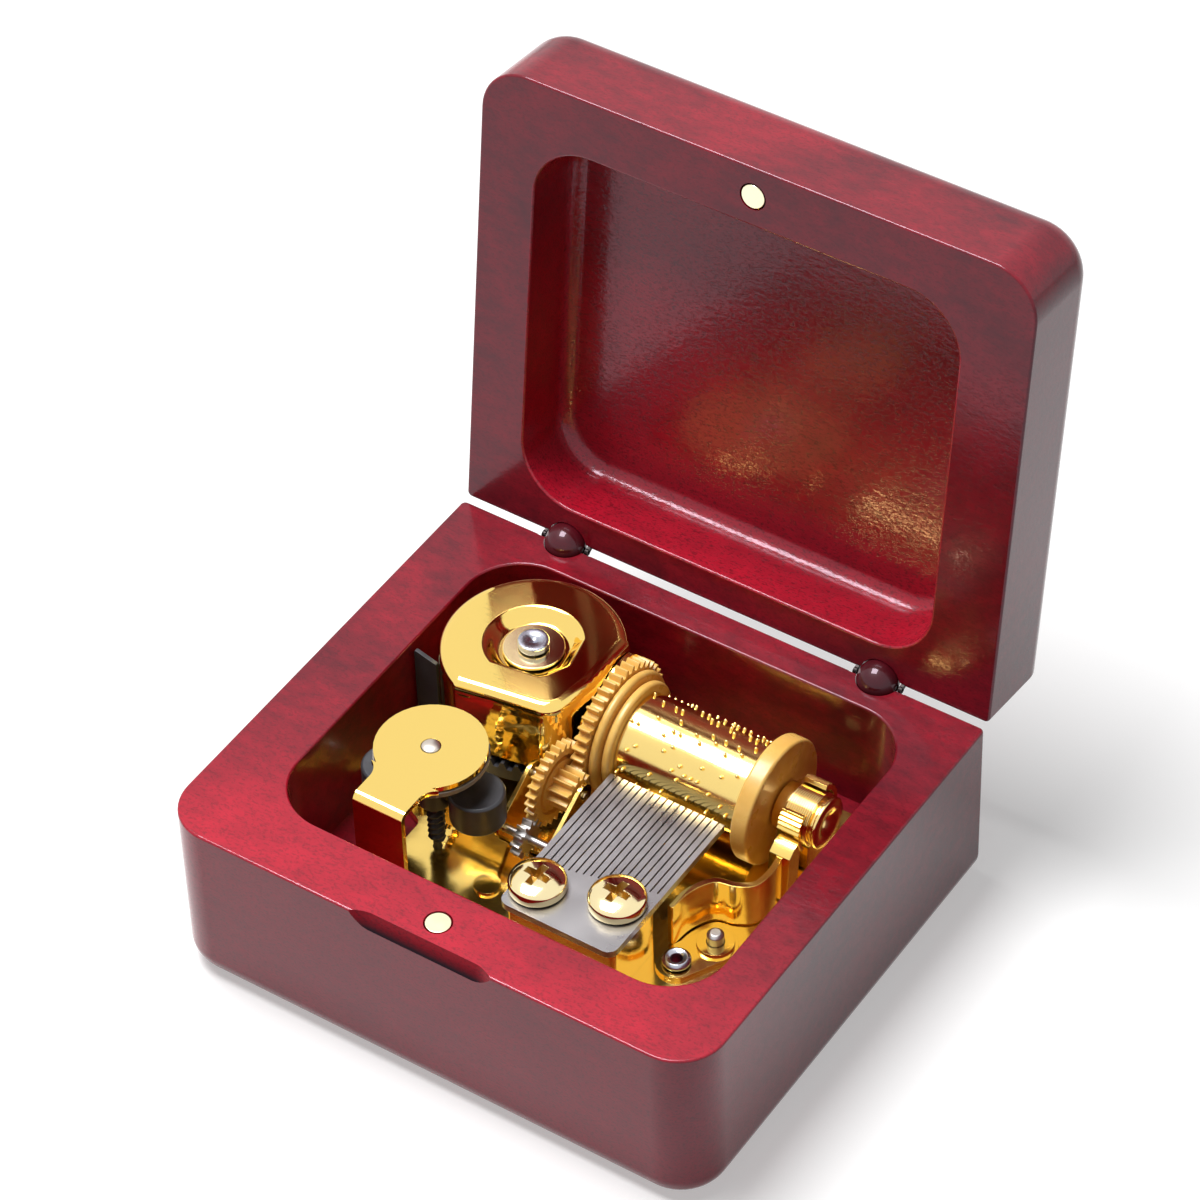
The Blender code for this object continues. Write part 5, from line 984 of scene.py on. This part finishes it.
def buildBush():
    low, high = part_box("cylinder_bush")
    bore, neck, collar, soft = bush["bore"], bush["neck"], bush["collar"], bush["soft"]
    bodyStart = low.x + bush["neckLength"]
    bodyEnd = bodyStart + bush["bodyLength"]
    collarStart = high.x - bush["collarLength"] / 2
    profile = [(bore, low.x), (neck - soft, low.x), (neck, low.x + soft), (neck, bodyStart)]
    pitch = bush["bodyLength"] / bush["grooves"]
    for k in range(bush["grooves"]):
        for share, drop in bush["ridge"]:
            profile.append((bush["body"] - drop * bush["grooveDepth"], bodyStart + (k + share) * pitch))
    profile += [(bush["body"] - bush["grooveDepth"], bodyEnd), (neck - soft, bodyEnd + soft),
                (neck - soft, collarStart - soft), (collar - soft / 2, collarStart),
                (collar, high.x - bush["collarFlat"]), (collar, high.x - soft), (collar - soft, high.x),
                (2 * bore, high.x), (bore, high.x - bore)]
    grooved = turned("grooveBush", profile, (0, cylinderAxis.y, cylinderAxis.z), "X", 72)
    shadeSmooth(grooved)
    return dress(grooved, bushGold, "case_body", "cylinder_bush")


buildWheel()
buildDisc()
buildTube()
buildBush()
print("cylinder built")


# Comb screws: domed heads with a cross

screw = {
    "head": 4.0 * mm, "headHeight": 2.3 * mm, "wall": 0.45, "edge": 0.12 * mm, "shank": 1.4 * mm,
    "soft": 0.05 * mm, "cross": 2.08 * mm, "crossDepth": 1.5 * mm, "crossTurn": 86,
    "crossTop": (1.3, 0.32), "crossFoot": (0.5, 0.2),  # half length and half width, shares of the cross
}


def buildScrew(name, node):
    low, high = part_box(node)
    centre = Vector(((low.x + high.x) / 2, (low.y + high.y) / 2, 0))
    under, edge = high.z - screw["headHeight"], screw["edge"]
    profile = [(0, low.z), (screw["shank"], low.z), (screw["shank"], under)]
    profile += arcPoints((screw["head"] - edge, under + edge), edge, -90, 0, 4)
    wall, rise = screw["headHeight"] * screw["wall"], screw["headHeight"] * (1 - screw["wall"])
    dome = [(screw["head"] * math.cos(angle), under + wall + rise * math.sin(angle))
            for angle in quarterTurn(16)]
    profile += dome[:-1] + [(0, under + wall + rise)]
    body = turned(name, profile, centre, steps=96)
    wedges = []
    for turn in (screw["crossTurn"], screw["crossTurn"] + 90):
        points = [(sx * span * screw["cross"], sy * width * screw["cross"], level)
                  for level, (span, width) in ((beyond, screw["crossTop"]),
                                               (-screw["crossDepth"], screw["crossFoot"]))
                  for sx in (-1, 1) for sy in (-1, 1)]
        wedge = hullOf("crossWedge", points)
        spin = Matrix.Rotation(math.radians(turn), 4, "Z")
        wedge.data.transform(Matrix.Translation((centre.x, centre.y, high.z)) @ spin)
        # the cross faces get the dark brass that paints the shade in the recess
        wedges.append(paint(wedge, slotBrassPaintedShade))
    boolean(paint(body, screwBrass), wedges)
    softenEdges(body, screw["soft"], angle=25)
    return dress(body, None, "case_body", node)


buildScrew("combScrewLeft", "comb_screw_left")
buildScrew("combScrewRight", "comb_screw_right")
print("comb screws built")


# Movement pieces whose CAD shape is right: softened copies with their finishes

copies = {  # CAD node, piece, finish, width of the softened edges in mm
    "case_body": [
        ("bedplate", "goldBedplate", plateGold, 0.08), ("cylinder_ear", "goldEar", plateGold, 0.08),
        ("train_bracket", "goldTrainBracket", plateGold, 0.05),
        ("governor_bracket", "goldGovernorBracket", capGold, 0.08),
        ("governor_pivot", "governorPivot", pivotMetal, 0.04),
        ("brake_disc", "brakeDisc", smokedPlastic, 0.08),
        ("bush_strap", "goldStrap", plateGold, 0.08), ("eyelet", "eyeletRivet", rivetSteel, 0.05),
        ("side_shim", "blackShim", charcoal, 0.05), ("music_comb", "steelComb", combSteel, 0.02),
        ("case_magnet", "caseMagnet", magnetPlate, 0.08), ("case_screw_1", "caseScrewA", plainSteel, 0.06),
        ("case_screw_2", "caseScrewB", plainSteel, 0.06), ("case_screw_3", "caseScrewC", plainSteel, 0.06),
        ("mainspring", "coiledSpring", plainSteel, 0.0),
    ],
    "lid_body": [("lid_magnet", "lidMagnet", magnetPlate, 0.08)],
    "drive": [("drive_gear", "driveGear", charcoal, 0.05)],
    "cylinder": [("cylinder_arbor", "cylinderArbor", plainSteel, 0.04)],
    "second": [("second_wheel", "honeySecondWheel", honeyPlastic, 0.04),
               ("second_arbor", "secondArbor", plainSteel, 0.04)],
    "third": [("third_arbor", "thirdArbor", plainSteel, 0.03), ("worm_wheel", "wormWheel", wormBrass, 0.03)],
    "governor": [
        ("governor_rotor", "governorRotor", charcoal, 0.04),
        ("governor_weight_left", "weightLeft", charcoal, 0.10),
        ("governor_weight_right", "weightRight", charcoal, 0.10),
    ],
    "key": [("winding_key", "windingKey", plainSteel, 0.10)],
}
for body, entries in copies.items():
    for node, pieceName, material, width in entries:
        fineCopy(node, pieceName, material, body, width * mm)
print("movement dressed")


# Floor, light and camera

stageSetup = {
    "floorColour": 0.62, "floorGlow": 0.42, "floorBounce": 0.18, "floorSize": 3.0,
    "floorLevel": -0.05 * mm, "worldStrength": 0.09, "boxPlace": (-0.22, -0.03, 0.80),
    "boxTarget": (0, 0, 0.03), "boxSize": 0.40, "boxPower": 9.6, "cameraPlace": (0.2718, -0.3832, 0.5200),
    "cameraTarget": (-0.01969, 0.03622, 0.0200), "cameraRoll": -2.01, "lens": 153.33, "sensor": 36.0,
    "nearest": 0.01,
}


def seenDirectly(tree):
    # 1 for the camera and in reflections and glass, 0 for light that bounces
    path = tree.nodes.new("ShaderNodeLightPath")
    seen = calculate(tree, "MAXIMUM", path.outputs["Is Camera Ray"], path.outputs["Is Glossy Ray"])
    return calculate(tree, "MAXIMUM", seen, path.outputs["Is Transmission Ray"])


def buildFloor():
    bm = bmesh.new()
    half, level = stageSetup["floorSize"] / 2, stageSetup["floorLevel"]
    bm.faces.new([bm.verts.new((x * half, y * half, level)) for x, y in ((-1, -1), (1, -1), (1, 1), (-1, 1))])
    floor = meshObject("floor", bm)
    pale, bounce = stageSetup["floorColour"], stageSetup["floorBounce"]
    material, tree, shader = startMaterial("paleFloor", (pale,) * 3, Roughness=0.9, Specular_IOR_Level=0.1)
    seen = seenDirectly(tree)
    tree.links.new(blendColours(tree, seen, (bounce,) * 3, (pale,) * 3), shader.inputs["Base Color"])
    glow = (stageSetup["floorGlow"],) * 3
    tree.links.new(blendColours(tree, seen, (0.0, 0.0, 0.0), glow), shader.inputs["Emission Color"])
    shader.inputs["Emission Strength"].default_value = 1.0
    floor.data.materials.append(material)


def buildWorld():
    world = bpy.data.worlds.new("softStudio")
    bpy.context.scene.world = world
    world.use_nodes = True
    tree = world.node_tree
    background = tree.nodes["Background"]
    background.inputs["Color"].default_value = (1, 1, 1, 1)
    strength = ramp(tree, seenDirectly(tree), ((0.0, 1.0), (stageSetup["worldStrength"], 1.0)))
    tree.links.new(strength, background.inputs["Strength"])


def addAreaLight(name, place, target, size, power):
    data = bpy.data.lights.new(name, "AREA")
    data.size = size
    data.energy = power
    light = bpy.data.objects.new(name, data)
    bpy.context.scene.collection.objects.link(light)
    light.location = place
    light.rotation_euler = (Vector(target) - Vector(place)).to_track_quat("-Z", "Y").to_euler()


def buildCamera():
    data = bpy.data.cameras.new("camera")
    data.lens = stageSetup["lens"]
    data.sensor_width = stageSetup["sensor"]
    data.clip_start = stageSetup["nearest"]
    camera = bpy.data.objects.new("camera", data)
    bpy.context.scene.collection.objects.link(camera)
    place, target = Vector(stageSetup["cameraPlace"]), Vector(stageSetup["cameraTarget"])
    aim = (target - place).to_track_quat("-Z", "Y").to_matrix().to_4x4()
    roll = Matrix.Rotation(math.radians(stageSetup["cameraRoll"]), 4, "Z")
    camera.matrix_world = Matrix.Translation(place) @ aim @ roll
    bpy.context.scene.camera = camera


buildFloor()
buildWorld()
addAreaLight("softBox", stageSetup["boxPlace"], stageSetup["boxTarget"], stageSetup["boxSize"],
             stageSetup["boxPower"])
buildCamera()
bpy.context.scene.view_settings.view_transform = "Standard"
print("floor, light and camera set")
